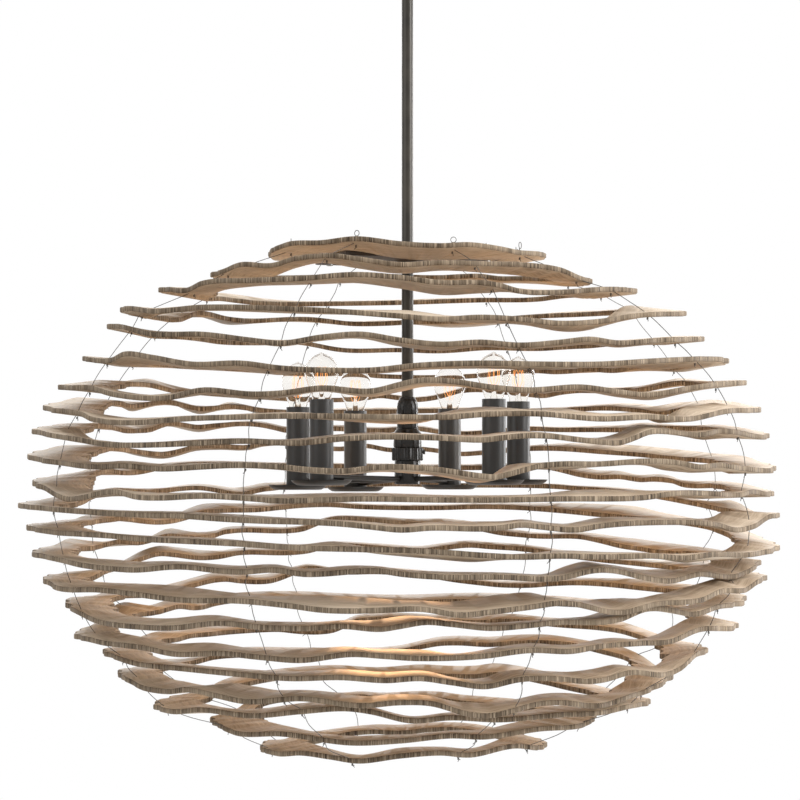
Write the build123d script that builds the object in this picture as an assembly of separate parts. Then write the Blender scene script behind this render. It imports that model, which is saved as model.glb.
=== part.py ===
from build123d import *
import os
from math import asin, cos, degrees, pi, radians, sin, sqrt, tan

# Orb chandelier. Millimetres, +Z up, origin at the centre of the canopy's ceiling face.
# The front of the orb looks along -Y. Azimuth is 0 at the front and turns towards +X.

# ---------------------------------------------------------------- driving sizes

CLEARANCE = 0.3            # between pieces that lie against each other
ROUND_SIDES = 18           # flats that stand for a circle on a turned piece
SMALL_SIDES = 10           # the same on the pieces that repeat six times
SLEEVE_SIDES = 12          # the same on the candle sleeves
THIN_SIDES = 6             # the same on screws, arms and pins

ORB_DIAMETER = 1028.0      # the ellipse that the board rings follow
ORB_HEIGHT = 740.0
ORB_DROP = 750.0           # ceiling to the middle of the orb

BOARD_THICKNESS = 6.0
BOARD_WIDTH = 50.0         # mean width of a ring, across the band
BOARD_WIDTH_WAVE = 13.0
EDGE_WAVE = 8.0            # how far the sawn outline swings in and out
LIFT_WAVE = 4.0            # how far a board bends up and down
TWIST_WAVE = 2.5           # how far the inner edge rises against the outer edge
DISH = 3.5                 # how far the inner edge lies low at the top and high at the bottom
TOP_BOARD_WIDTH = 86.0     # the top ring is wider, because it rests on the carrier
TOP_BOARD_CALM = 0.3       # share of the waves that the top ring has
SLOW_EDGE = 0.5            # share of the edge wave that its second, slower swing has

# One row for each ring, from the top: height as a share of the orb's half height, forward
# lean and sideways lean in degrees, how far the front and back sag below the two sides, how
# far the ring stands outside the ellipse, and how far its middle lies right of the stem.
BOARD_RINGS = [
    (0.927, 0.6, -0.3, -1.0, -3, -3),
    (0.838, 1.6, -0.8, -3.0, -23, -1),
    (0.770, 1.6, -0.5, -1.0, -2, -16),
    (0.684, 2.4, -0.5, 3.0, 3, -11),
    (0.595, 2.0, -1.0, 6.0, -9, 11),
    (0.497, 2.0, 0.0, 7.0, -6, -10),
    (0.408, 1.7, 0.2, 5.0, -8, -10),
    (0.324, 2.1, 0.0, 1.0, 2, -3),
    (0.238, 2.1, -0.4, -2.5, -4, -11),
    (0.143, 2.3, -0.7, -5.5, -4, 3),
    (0.051, 2.7, -0.8, -6.0, -8, -14),
    (-0.030, 2.9, -0.7, -6.0, -5, -18),
    (-0.116, 2.8, -0.9, -7.0, -1, 2),
    (-0.203, 2.5, -0.4, -6.0, -10, -15),
    (-0.286, 2.3, 0.5, 0.0, -6, -3),
    (-0.368, 2.2, 1.4, -1.0, -14, -4),
    (-0.454, 2.5, 2.1, 2.5, -14, -8),
    (-0.538, 2.4, 2.2, 3.5, -26, 4),
    (-0.624, 2.3, 2.3, 2.5, -25, -19),
    (-0.708, 1.9, 2.5, -2.5, -32, -13),
    (-0.803, 1.4, 2.2, 1.0, -46, 0),
    (-0.905, 0.8, 0.4, -4.0, -25, -8),
]
SMALL_RING_RADIUS = 300.0  # below this a ring is drawn with fewer straight lengths
SMALL_RING_SIDES = 24
LARGE_RING_SIDES = 28

WIRE_AZIMUTHS = (20.6, 65.0, 114.4, 157.2, 202.5, 248.8, 288.8, 335.8)
WIRE_RADIUS = 0.8
WIRE_SIDES = 3             # flats round a wire
WIRE_TAIL = 9.0            # wire above the top ring and below the bottom ring

CARRIER_THICKNESS = 9.0
CARRIER_MARGIN = 17.0      # from a corner screw to the carrier's ends and sides
CARRIER_CHAMFER = 4.0
CARRIER_SCREW_INSET = 9.0  # from the top ring's mean inner edge to the screws
CARRIER_SCREW_ANGLE = 34.5
CARRIER_TURN = 17.0
CARRIER_GAP = 7.5          # top ring's middle to the carrier's top face
CARRIER_SCREW_RADIUS = 2.0
CARRIER_HEAD_RADIUS = 4.5
CARRIER_HEAD_HEIGHT = 2.5

STEM_RADIUS = 8.0
STEM_BORE = 5.6
COLLAR_RADIUS = 15.0
COLLAR_HEIGHT = 12.0
SET_SCREW_RADIUS = 2.0

CANOPY_RADIUS = 65.0
CANOPY_DEPTH = 28.0
CANOPY_WALL = 1.5
CANOPY_FLAT = 49.0         # radius of the flat middle of its underside
CANOPY_SKIRT = 8.0
COVE_REACH = 0.72          # share of the shoulder's width and depth where it bends
COVE_RISE = 0.4
STRAP_LENGTH = 114.0
STRAP_WIDTH = 22.0
STRAP_THICKNESS = 2.5
BOX_HOLE_SPACING = 88.9    # screw spacing of a ceiling box
BOX_HOLE_RADIUS = 2.4
CANOPY_SCREW_SPACING = 72.0
CANOPY_SCREW_RADIUS = 2.0
CAP_NUT_RADIUS = 5.0
CAP_NUT_HEIGHT = 8.0
CAP_NUT_DOME = [(1.0, 0.45), (0.7, 0.85)]   # shares of its radius and height

BALL_RADIUS = 16.5
BALL_DROP = 27.0           # ceiling to the ball's centre
BALL_TOP = 9.0             # where the ball is cut off, from its centre
BALL_BOTTOM = -11.0
SWIVEL_GAP = 0.9           # running gap of the ball in its liner and of the liner in its seat
LINER_WALL = 1.6
SEAT_WALL = 4.0
SEAT_CHAMFER = 3.0
SEAT_FLANGE = 4.0          # lip that rests on the canopy, all round
SEAT_FLANGE_THICKNESS = 2.0
LINER_LOW = -41.0          # latitudes of the liner's and the seat's open edges, degrees
LINER_HIGH = 24.0
SEAT_LOW = -40.0
SEAT_HIGH = 20.0
LATITUDE_STEPS = 3
LOCK_NUT_RADIUS = 13.0
LOCK_NUT_HEIGHT = 5.0

# Light cluster, heights above the orb's middle.
HUB_TOP = 141.0
BELL_BOTTOM = 117.5
BELL_RADIUS = 14.5
BELL_PROFILE = [(1.0, 0.45), (0.92, 0.75), (0.72, 1.0)]   # shares of its radius and height
NECK_BOTTOM = 98.0
BODY_BOTTOM = 71.5
BODY_RADIUS = 19.2
BODY_SHOULDER = 7.0
RIB_BOTTOM = 53.5
RIB_RADIUS = 21.0
RIB_DEPTH = 0.8
SHELL_BOTTOM = 21.5
SHELL_RADIUS = 17.8
HUB_WALL = 2.2
HUB_COVER_THICKNESS = 2.5
KNOB_HEIGHT = 66.0
KNOB_RADIUS = 3.4
KNOB_REACH = 2.8
KNOB_PIN_RADIUS = 1.5
KNOB_PIN_LENGTH = 2.4

ARM_AZIMUTHS = (-152.0, -105.0, -47.0, 47.0, 102.5, 157.4)
ARM_DROOPS = (5.5, 3.5, -2.0, -2.5, -4.0, 2.5)   # how far each hand-bent arm hangs down
CLUSTER_RADIUS = 157.0
ARM_RADIUS = 3.6
ARM_HEIGHT = 28.8
ARM_END = 1.0              # arm inside the lower shell's wall
ARM_BEND = 6.0             # from the shell to where a hand-bent arm starts to hang down
DISH_RADIUS = 40.5
DISH_FLOOR_RADIUS = 33.0
DISH_FLOOR = 17.5
DISH_RIM = 24.3
DISH_WALL = 1.4
SLEEVE_RADIUS = 16.0
SLEEVE_WALL = 1.1
SLEEVE_TOP = 132.0
SLEEVE_SLOT = 9.0          # slot at the sleeve's foot that the arm enters by
FOOT_RADIUS = 11.9
FOOT_HEIGHT = 16.0
FOOT_TAPER = 3.0
POST_RADIUS = 5.0
HOLDER_RADIUS = 14.4
HOLDER_WALL = 0.9
HOLDER_FLOOR = 3.0
HOLDER_DROP = 4.0          # sleeve's top to the lampholder's edge
CAP_RADIUS = 12.9
CAP_LENGTH = 25.0
CAP_TAPER = 5.0
CAP_DROP = 3.0             # sleeve's top to the top of the bulb's cap
CONTACT_HEIGHT = 6.0       # centre contact on the lampholder's floor
CAP_TIP_RADIUS = 4.5
GLASS_RADIUS = 22.8
GLASS_NECK_RADIUS = 12.2
GLASS_LENGTH = 66.0
GLASS_WALL = 1.2
GLASS_SHOULDER = 0.10      # share of the glass's length that is its straight neck
GLASS_PROFILE = [(0.78, 0.34), (1.0, 0.58), (0.90, 0.79), (0.52, 0.96), (0, 1.0)]
BULB_STEM_RADIUS = 3.0
BULB_STEM_LENGTH = 22.0
BULB_STEM_FLARE = 1.8      # foot's radius as a share of the stem's
BULB_STEM_TIP = 0.5
BULB_STEM_WAIST = 0.35     # share of the length where the foot ends
FILAMENT_RADIUS = 0.6
FILAMENT_SPREAD = 7.0
FILAMENT_HEIGHT = 22.0
FILAMENT_TURNS = 4
FILAMENT_FOOT = 0.55       # how far its low bends stand out, as a share of the high ones


# ---------------------------------------------------------------- shared shapes

def around(radius, azimuth, height):
    """The point at a radius and azimuth from the vertical axis."""
    angle = radians(azimuth)
    return (radius * sin(angle), -radius * cos(angle), height)


def strip_faces(first, second):
    """Flat facets between two sections with as many corners."""
    faces = []
    for i in range(len(first)):
        j = (i + 1) % len(first)
        faces.append(Face(Wire.make_polygon([first[i], first[j], second[j]])))
        faces.append(Face(Wire.make_polygon([first[i], second[j], second[i]])))
    return faces


def ring_solid(sections):
    """A closed solid through sections that run once round an axis."""
    faces = []
    for first, second in zip(sections, sections[1:] + sections[:1]):
        faces += strip_faces(first, second)
    return Solid(Shell(faces))


def bar_solid(sections):
    """A closed solid through sections from one end of a bar to the other."""
    faces = [Face(Wire.make_polygon(sections[0][::-1])), Face(Wire.make_polygon(sections[-1]))]
    for first, second in zip(sections, sections[1:]):
        faces += strip_faces(first, second)
    return Solid(Shell(faces))


def turned(profile, sides=ROUND_SIDES):
    """A closed profile of (radius, height) turned round Z, in trapezoid facets."""
    faces = []
    step = 360 / sides
    for n in range(sides):
        for (r1, z1), (r2, z2) in zip(profile, profile[1:] + profile[:1]):
            if r1 == 0 and r2 == 0:
                continue
            corners = [around(r1, n * step, z1), around(r2, n * step, z2)]
            if r2 > 0:
                corners.append(around(r2, (n + 1) * step, z2))
            if r1 > 0:
                corners.append(around(r1, (n + 1) * step, z1))
            faces.append(Face(Wire.make_polygon([Vector(*corner) for corner in corners])))
    return Solid(Shell(faces))


def tube(radius, bore, low, high, sides=ROUND_SIDES):
    return turned([(bore, low), (radius, low), (radius, high), (bore, high)], sides)


def disc(radius, low, high, sides=ROUND_SIDES):
    return turned([(0, low), (radius, low), (radius, high), (0, high)], sides)


def prism(radius, length, sides=THIN_SIDES):
    return extrude(RegularPolygon(radius, sides), amount=length)


# ---------------------------------------------------------------- board rings

def ring_radius(index):
    """Radius of the orb's ellipse at a ring's height."""
    return ORB_DIAMETER / 2 * sqrt(1 - BOARD_RINGS[index][0] ** 2)


def ring_level(index):
    """Height of a ring under the ceiling."""
    return BOARD_RINGS[index][0] * ORB_HEIGHT / 2 - ORB_DROP


def ring_sides(index):
    return SMALL_RING_SIDES if ring_radius(index) < SMALL_RING_RADIUS else LARGE_RING_SIDES


def ring_section(index, azimuth):
    """Outer and inner point of a ring's middle surface at one azimuth."""
    share, lean, roll, saddle, spread, shift = BOARD_RINGS[index]
    angle = radians(azimuth)
    phase = radians(137.5 * index)
    mean = ring_radius(index)
    quiet = min(1.0, mean / SMALL_RING_RADIUS) if index else TOP_BOARD_CALM
    outer = mean + spread + shift * sin(angle)
    outer += EDGE_WAVE * quiet * (sin(5 * angle + phase) + SLOW_EDGE * sin(3 * angle - 2 * phase))
    width = BOARD_WIDTH if index else TOP_BOARD_WIDTH
    inner = outer - width - BOARD_WIDTH_WAVE * quiet * sin(4 * angle + 3 * phase)
    lift = LIFT_WAVE * quiet * sin(6 * angle + 2 * phase)
    twist = TWIST_WAVE * quiet * sin(4 * angle - phase) - DISH * quiet * share
    points = []
    for radius, side in ((outer, -1), (inner, 1)):
        forward = -tan(radians(lean)) * radius * cos(angle)
        sideways = tan(radians(roll)) * radius * sin(angle)
        height = ring_level(index) - saddle * cos(2 * angle)
        height += forward + sideways + lift + side * twist
        points.append(Vector(*around(radius, azimuth, height)))
    return points


def wire_point(index, azimuth):
    """Where a wire passes through the middle of a ring's band."""
    step = 360 / ring_sides(index)
    first = azimuth // step * step
    share = (azimuth - first) / step
    middles = [sum(ring_section(index, turn), Vector()) / 2 for turn in (first, first + step)]
    return middles[0] * (1 - share) + middles[1] * share


def ring_board(index):
    half = Vector(0, 0, BOARD_THICKNESS / 2)
    sections = []
    sides = ring_sides(index)
    for n in range(sides):
        outer, inner = ring_section(index, n * 360 / sides)
        sections.append([outer + half, outer - half, inner - half, inner + half])
    board = ring_solid(sections)
    if index > 0:
        return board
    drill = prism(CARRIER_SCREW_RADIUS + CLEARANCE, 4 * BOARD_THICKNESS)
    return board - [Pos(x, y, carrier_top() - BOARD_THICKNESS) * drill
                    for x, y in carrier_screw_places()]


def hanger_wire(azimuth):
    """One wire, which fills its hole in each ring and bends there towards the next ring."""
    tail = Vector(0, 0, WIRE_TAIL)
    points = [wire_point(index, azimuth) for index in range(len(BOARD_RINGS))]
    points = [points[0] + tail] + points + [points[-1] - tail]
    across = Vector(*around(1, azimuth + 90, 0))
    sections = []
    for n, point in enumerate(points):
        before = points[max(n - 1, 0)]
        after = points[min(n + 1, len(points) - 1)]
        normal = (after - before).cross(across).normalized()
        sections.append([])
        for corner in range(WIRE_SIDES):
            angle = 2 * pi * corner / WIRE_SIDES
            sections[-1].append(point + (across * cos(angle) + normal * sin(angle)) * WIRE_RADIUS)
    return bar_solid(sections)


# ---------------------------------------------------------------- carrier and stem

def carrier_top():
    return ring_level(0) - CARRIER_GAP


def carrier_screw_offsets():
    """How far the corner screws lie from the carrier's middle, along and across it."""
    radius = ring_radius(0) + BOARD_RINGS[0][4] - TOP_BOARD_WIDTH + CARRIER_SCREW_INSET
    angle = radians(CARRIER_SCREW_ANGLE)
    return radius * cos(angle), radius * sin(angle)


def carrier_screw_places():
    along, across = carrier_screw_offsets()
    corners = [(sx * along, sy * across) for sx in (-1, 1) for sy in (-1, 1)]
    return [tuple(Vector(x, y).rotate(Axis.Z, CARRIER_TURN))[:2] for x, y in corners]


def carrier_board():
    along, across = [2 * (offset + CARRIER_MARGIN) for offset in carrier_screw_offsets()]
    board = Box(along, across, CARRIER_THICKNESS)
    board = chamfer(board.edges().filter_by(Axis.Z), length=CARRIER_CHAMFER)
    board = Pos(0, 0, carrier_top() - CARRIER_THICKNESS / 2) * Rot(0, 0, CARRIER_TURN) * board
    board -= Pos(0, 0, carrier_top() - 2 * CARRIER_THICKNESS) * prism(
        (STEM_RADIUS + CLEARANCE) / cos(radians(180 / ROUND_SIDES)),
        3 * CARRIER_THICKNESS,
        ROUND_SIDES,
    )
    drill = prism(CARRIER_SCREW_RADIUS + CLEARANCE, 3 * CARRIER_THICKNESS)
    return board - [Pos(x, y, carrier_top() - 2 * CARRIER_THICKNESS) * drill
                    for x, y in carrier_screw_places()]


def carrier_screws():
    """Screws from below the carrier, up through the top ring."""
    head_top = carrier_top() - CARRIER_THICKNESS
    shank = prism(CARRIER_SCREW_RADIUS, CARRIER_THICKNESS + CARRIER_GAP + BOARD_THICKNESS)
    head = Pos(0, 0, -CARRIER_HEAD_HEIGHT) * prism(CARRIER_HEAD_RADIUS, CARRIER_HEAD_HEIGHT)
    screw = head + shank
    return [Pos(x, y, head_top) * screw for x, y in carrier_screw_places()]


def collar_top():
    return carrier_top() - CARRIER_THICKNESS - CLEARANCE


def stem_collar():
    collar = tube(COLLAR_RADIUS, STEM_RADIUS + CLEARANCE, collar_top() - COLLAR_HEIGHT, collar_top())
    drill = prism(SET_SCREW_RADIUS + CLEARANCE, 2 * COLLAR_RADIUS)
    return collar - Pos(0, 0, collar_top() - COLLAR_HEIGHT / 2) * Rot(90, 0, 0) * drill


def collar_screw():
    length = COLLAR_RADIUS - STEM_RADIUS
    screw = prism(SET_SCREW_RADIUS, length - CLEARANCE)
    start = Pos(0, -STEM_RADIUS - CLEARANCE, collar_top() - COLLAR_HEIGHT / 2)
    return start * Rot(90, 0, 0) * screw


def stem():
    top = lock_nut_low() + LOCK_NUT_HEIGHT + CLEARANCE
    bottom = hub_level(NECK_BOTTOM)
    return tube(STEM_RADIUS, STEM_BORE, bottom, top)


# ---------------------------------------------------------------- ceiling end

def canopy():
    """A pressed pan: flat middle, coved shoulder and straight skirt, open at the ceiling."""
    bore = seat_outer_radius() + CLEARANCE
    cove = (CANOPY_RADIUS - CANOPY_FLAT) * COVE_REACH
    floor = -CANOPY_DEPTH
    bend = floor + (CANOPY_DEPTH - CANOPY_SKIRT) * COVE_RISE
    outside = [
        (CANOPY_RADIUS, 0),
        (CANOPY_RADIUS, -CANOPY_SKIRT),
        (CANOPY_FLAT + cove, bend),
        (CANOPY_FLAT, floor),
        (bore, floor),
    ]
    inside = [
        (bore, floor + CANOPY_WALL),
        (CANOPY_FLAT - CANOPY_WALL / 2, floor + CANOPY_WALL),
        (CANOPY_FLAT + cove - CANOPY_WALL, bend + CANOPY_WALL),
        (CANOPY_RADIUS - CANOPY_WALL, -CANOPY_SKIRT),
        (CANOPY_RADIUS - CANOPY_WALL, 0),
    ]
    pan = turned(outside + inside, ROUND_SIDES + 2)
    drill = prism(CANOPY_SCREW_RADIUS + CLEARANCE, CANOPY_DEPTH)
    return pan - [Pos(x, 0, floor - CANOPY_DEPTH / 2) * drill for x in canopy_screw_xs()]


def canopy_screw_xs():
    return (-CANOPY_SCREW_SPACING / 2, CANOPY_SCREW_SPACING / 2)


def mounting_strap():
    """Flat bar across the ceiling box: round box holes and two canopy screw holes."""
    bar = Box(STRAP_LENGTH, STRAP_WIDTH, STRAP_THICKNESS)
    bar = Pos(0, 0, -STRAP_THICKNESS / 2) * bar
    for x in (-BOX_HOLE_SPACING / 2, BOX_HOLE_SPACING / 2):
        bar -= Pos(x, 0, 0) * Cylinder(BOX_HOLE_RADIUS, 4 * STRAP_THICKNESS)
    drill = prism(CANOPY_SCREW_RADIUS + CLEARANCE, 4 * STRAP_THICKNESS)
    return bar - [Pos(x, 0, -2 * STRAP_THICKNESS) * drill for x in canopy_screw_xs()]


def canopy_screws():
    low = -CANOPY_DEPTH - CAP_NUT_HEIGHT / 2
    return [Pos(x, 0, low) * prism(CANOPY_SCREW_RADIUS, -low) for x in canopy_screw_xs()]


def cap_nuts():
    """Domed nuts under the canopy, hollow for the screw ends."""
    top = -CANOPY_DEPTH - CLEARANCE
    bore = CANOPY_SCREW_RADIUS + CLEARANCE
    nut = turned([
        (bore, top),
        (CAP_NUT_RADIUS, top),
        *[(CAP_NUT_RADIUS * out, top - CAP_NUT_HEIGHT * down) for out, down in CAP_NUT_DOME],
        (0, top - CAP_NUT_HEIGHT),
        (0, top - CAP_NUT_HEIGHT / 2 - CLEARANCE),
        (bore, top - CAP_NUT_HEIGHT / 2 - CLEARANCE),
    ], SMALL_SIDES)
    return [Pos(x, 0, 0) * nut for x in canopy_screw_xs()]


def liner_inner_radius():
    return BALL_RADIUS + SWIVEL_GAP


def seat_inner_radius():
    return liner_inner_radius() + LINER_WALL + SWIVEL_GAP


def seat_outer_radius():
    return seat_inner_radius() + SEAT_WALL


def latitude_arc(radius, low, high):
    """Points of a circle of the profile from one latitude to another, as chords."""
    turn = [low + (high - low) * n / LATITUDE_STEPS for n in range(LATITUDE_STEPS + 1)]
    return [(radius * cos(radians(t)), radius * sin(radians(t)) - BALL_DROP) for t in turn]


def swivel_seat():
    inside = latitude_arc(seat_inner_radius(), SEAT_HIGH, SEAT_LOW)
    outer = seat_outer_radius()
    low, high = inside[-1][1], inside[0][1]
    flange = -CANOPY_DEPTH + CANOPY_WALL + CLEARANCE
    return turned(inside + [
        (outer - SEAT_CHAMFER, low),
        (outer, low + SEAT_CHAMFER),
        (outer, flange),
        (outer + SEAT_FLANGE, flange),
        (outer + SEAT_FLANGE, flange + SEAT_FLANGE_THICKNESS),
        (outer, flange + SEAT_FLANGE_THICKNESS),
        (outer, high),
    ])


def swivel_liner():
    inner = liner_inner_radius()
    inside = latitude_arc(inner, LINER_HIGH, LINER_LOW)
    outside = latitude_arc(inner + LINER_WALL, LINER_LOW, LINER_HIGH)
    return turned(inside + outside)


def ball_arc():
    low = BALL_BOTTOM / BALL_RADIUS
    high = BALL_TOP / BALL_RADIUS
    return latitude_arc(BALL_RADIUS, degrees(asin(low)), degrees(asin(high)))


def swivel_ball():
    bore = (STEM_RADIUS + CLEARANCE) / cos(radians(180 / ROUND_SIDES))
    return turned([(bore, BALL_BOTTOM - BALL_DROP)] + ball_arc() + [(bore, BALL_TOP - BALL_DROP)])


def lock_nut_low():
    return BALL_TOP - BALL_DROP + CLEARANCE


def stem_lock_nut():
    bore = (STEM_RADIUS + CLEARANCE) / cos(radians(180 / ROUND_SIDES))
    nut = prism(LOCK_NUT_RADIUS, LOCK_NUT_HEIGHT) - prism(bore, LOCK_NUT_HEIGHT, ROUND_SIDES)
    return Pos(0, 0, lock_nut_low()) * nut


# ---------------------------------------------------------------- light cluster

def hub_level(height):
    return height - ORB_DROP


def hub_bore():
    return (STEM_RADIUS + CLEARANCE) / cos(radians(180 / ROUND_SIDES))


def hub_bell_cap():
    low, high = hub_level(BELL_BOTTOM + CLEARANCE), hub_level(HUB_TOP)
    drop = high - low
    return turned([
        (hub_bore(), low),
        (BELL_RADIUS, low),
        *[(BELL_RADIUS * out, low + drop * up) for out, up in BELL_PROFILE],
        (hub_bore(), high),
    ])


def hub_neck():
    return tube(BELL_RADIUS, hub_bore(), hub_level(NECK_BOTTOM + CLEARANCE), hub_level(BELL_BOTTOM))


def hub_body():
    """Shouldered casing, open below, where the wiring is joined."""
    low, high = hub_level(BODY_BOTTOM + CLEARANCE), hub_level(NECK_BOTTOM)
    shoulder = high - BODY_SHOULDER
    return turned([
        (BELL_RADIUS, high),
        (STEM_BORE, high),
        (STEM_BORE, high - HUB_WALL),
        (BELL_RADIUS - HUB_WALL / 2, high - HUB_WALL),
        (BODY_RADIUS - HUB_WALL, shoulder - HUB_WALL / 2),
        (BODY_RADIUS - HUB_WALL, low),
        (BODY_RADIUS, low),
        (BODY_RADIUS, shoulder),
    ])


def hub_ribbed_ring():
    """Grip ring with ribs all round, between the body and the lower shell."""
    low, high = hub_level(RIB_BOTTOM + CLEARANCE), hub_level(BODY_BOTTOM)
    bore = BODY_RADIUS - HUB_WALL
    sections = []
    for n in range(2 * ROUND_SIDES):
        radius = RIB_RADIUS - (RIB_DEPTH if n % 2 else 0)
        azimuth = n * 180 / ROUND_SIDES
        corners = ((radius, high), (radius, low), (bore, low), (bore, high))
        sections.append([Vector(*around(r, azimuth, z)) for r, z in corners])
    ring = ring_solid(sections)
    drill = prism(KNOB_PIN_RADIUS + CLEARANCE, 2 * RIB_RADIUS)
    return ring - Pos(0, 0, hub_level(KNOB_HEIGHT)) * Rot(0, 90, 0) * drill


def hub_knob():
    """Small grip knob on a pin that goes into the ribbed ring."""
    pin = prism(KNOB_PIN_RADIUS, KNOB_PIN_LENGTH + CLEARANCE)
    grip = Pos(0, 0, KNOB_PIN_LENGTH + CLEARANCE) * prism(KNOB_RADIUS, KNOB_REACH, SMALL_SIDES)
    start = Pos(RIB_RADIUS - KNOB_PIN_LENGTH, 0, hub_level(KNOB_HEIGHT))
    return start * Rot(0, 90, 0) * (pin + grip)


def hub_lower_shell():
    low, high = hub_level(SHELL_BOTTOM), hub_level(RIB_BOTTOM)
    shell = tube(SHELL_RADIUS, SHELL_RADIUS - HUB_WALL, low, high)
    drill = prism(ARM_RADIUS + CLEARANCE, 2 * SHELL_RADIUS)
    for azimuth in ARM_AZIMUTHS:
        shell -= arm_frame(azimuth, 0, 0) * drill
    return shell


def hub_bottom_cover():
    low = hub_level(SHELL_BOTTOM)
    inner = (SHELL_RADIUS - HUB_WALL) * cos(radians(180 / ROUND_SIDES)) - CLEARANCE
    return disc(inner, low, low + HUB_COVER_THICKNESS)


def arm_frame(azimuth, distance, droop):
    """Local Z runs outwards along an arm, from a distance off the axis."""
    place = Pos(around(distance, azimuth, hub_level(ARM_HEIGHT) - droop))
    return place * Rot(0, 0, azimuth - 90) * Rot(0, 90, 0)


def arm(azimuth, droop):
    """A bar from inside the lower shell to the foot of one candle."""
    inner = SHELL_RADIUS - HUB_WALL - ARM_END
    outer = CLUSTER_RADIUS - FOOT_RADIUS - CLEARANCE
    start = Vector(*around(inner, azimuth, hub_level(ARM_HEIGHT)))
    bend = Vector(*around(SHELL_RADIUS + ARM_BEND, azimuth, hub_level(ARM_HEIGHT)))
    end = Vector(*around(outer, azimuth, hub_level(ARM_HEIGHT) - droop))
    points = [start, bend, end]
    section = arm_frame(azimuth, inner, 0) * RegularPolygon(ARM_RADIUS, THIN_SIDES)
    return sweep(section, path=Polyline(*points), transition=Transition.RIGHT)


def at_candles(piece):
    """Six copies of a piece that is drawn round Z at its height in the cluster."""
    copies = []
    for azimuth, droop in zip(ARM_AZIMUTHS, ARM_DROOPS):
        centre = around(CLUSTER_RADIUS, azimuth, -ORB_DROP - droop)
        copies.append(Pos(centre) * Rot(0, 0, azimuth) * piece)
    return copies


def drip_dish():
    """Saucer with a flared rim, pressed from sheet."""
    return turned([
        (0, DISH_FLOOR),
        (DISH_FLOOR_RADIUS, DISH_FLOOR),
        (DISH_RADIUS, DISH_RIM - DISH_WALL),
        (DISH_RADIUS, DISH_RIM),
        (DISH_FLOOR_RADIUS, DISH_FLOOR + DISH_WALL),
        (0, DISH_FLOOR + DISH_WALL),
    ], ROUND_SIDES - 2)


def dish_seat():
    return DISH_FLOOR + DISH_WALL + CLEARANCE


def candle_sleeve():
    """Tall cover tube, slotted at its foot where the arm comes in."""
    sleeve = tube(SLEEVE_RADIUS, SLEEVE_RADIUS - SLEEVE_WALL, dish_seat(), SLEEVE_TOP, SLEEVE_SIDES)
    height = ARM_HEIGHT + ARM_RADIUS + CLEARANCE - dish_seat()
    slot = Box(SLEEVE_SLOT, SLEEVE_RADIUS, 2 * height)
    return sleeve - Pos(0, SLEEVE_RADIUS, dish_seat()) * slot


def cap_top():
    return SLEEVE_TOP - CAP_DROP


def holder_low():
    return cap_top() - CAP_LENGTH - CONTACT_HEIGHT - HOLDER_FLOOR - CLEARANCE


def lampholder():
    """Cup that holds the bulb's cap, with the centre contact on its floor."""
    low = holder_low()
    floor = low + HOLDER_FLOOR
    bore = HOLDER_RADIUS - HOLDER_WALL
    return turned([
        (0, low),
        (HOLDER_RADIUS, low),
        (HOLDER_RADIUS, SLEEVE_TOP - HOLDER_DROP),
        (bore, SLEEVE_TOP - HOLDER_DROP),
        (bore, floor),
        (CAP_TIP_RADIUS, floor),
        (CAP_TIP_RADIUS, floor + CONTACT_HEIGHT),
        (0, floor + CONTACT_HEIGHT),
    ], SMALL_SIDES)


def holder_post():
    """Post from the dish up to the lampholder, which the arm screws into."""
    top = holder_low() - CLEARANCE
    foot_top = dish_seat() + FOOT_HEIGHT
    return turned([
        (0, dish_seat()),
        (FOOT_RADIUS, dish_seat()),
        (FOOT_RADIUS, foot_top),
        (POST_RADIUS, foot_top + FOOT_TAPER),
        (POST_RADIUS, top),
        (0, top),
    ], THIN_SIDES)


def bulb_cap():
    """Screw cap with its contact tip."""
    low = cap_top() - CAP_LENGTH
    return turned([
        (0, low),
        (CAP_TIP_RADIUS, low),
        (CAP_RADIUS, low + CAP_TAPER),
        (CAP_RADIUS, cap_top()),
        (0, cap_top()),
    ], SMALL_SIDES)


def glass_profile(radius, neck, low, high):
    """Half outline of a clear globe lamp, from its neck to its crown."""
    length = high - low
    return [
        (neck, low),
        (neck, low + GLASS_SHOULDER * length),
        *[(radius * out, low + length * up) for out, up in GLASS_PROFILE],
    ]


def bulb_glass():
    """Clear envelope with a cavity for the stem and filament."""
    low = cap_top() + CLEARANCE
    high = low + GLASS_LENGTH
    outer = glass_profile(GLASS_RADIUS, GLASS_NECK_RADIUS, low, high)
    inner = glass_profile(
        GLASS_RADIUS - GLASS_WALL,
        GLASS_NECK_RADIUS - GLASS_WALL,
        low,
        high - GLASS_WALL,
    )
    inner = [inner[0], inner[1], inner[2], inner[3], inner[5], inner[6]]
    return turned(outer + inner[::-1], SMALL_SIDES)


def bulb_stem():
    low = cap_top() + CLEARANCE
    return turned([
        (0, low),
        (BULB_STEM_FLARE * BULB_STEM_RADIUS, low),
        (BULB_STEM_RADIUS, low + BULB_STEM_WAIST * BULB_STEM_LENGTH),
        (BULB_STEM_TIP * BULB_STEM_RADIUS, low + BULB_STEM_LENGTH),
        (0, low + BULB_STEM_LENGTH),
    ], THIN_SIDES)


def filament():
    """Long carbon filament that zigzags up and down round the stem's top."""
    low = cap_top() + BULB_STEM_LENGTH + 2 * CLEARANCE + FILAMENT_RADIUS
    points = []
    for n in range(2 * FILAMENT_TURNS):
        spread = FILAMENT_SPREAD * (1 if n % 2 else FILAMENT_FOOT)
        height = low + (FILAMENT_HEIGHT if n % 2 else 0)
        points.append(Vector(*around(spread, n * 180 / FILAMENT_TURNS, height)))
    points[0] = Vector(0, 0, low)
    start = Plane(origin=points[0], z_dir=points[1] - points[0])
    section = start * RegularPolygon(FILAMENT_RADIUS, WIRE_SIDES)
    return sweep(section, path=Polyline(*points), transition=Transition.RIGHT)


# ---------------------------------------------------------------- all the pieces

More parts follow.
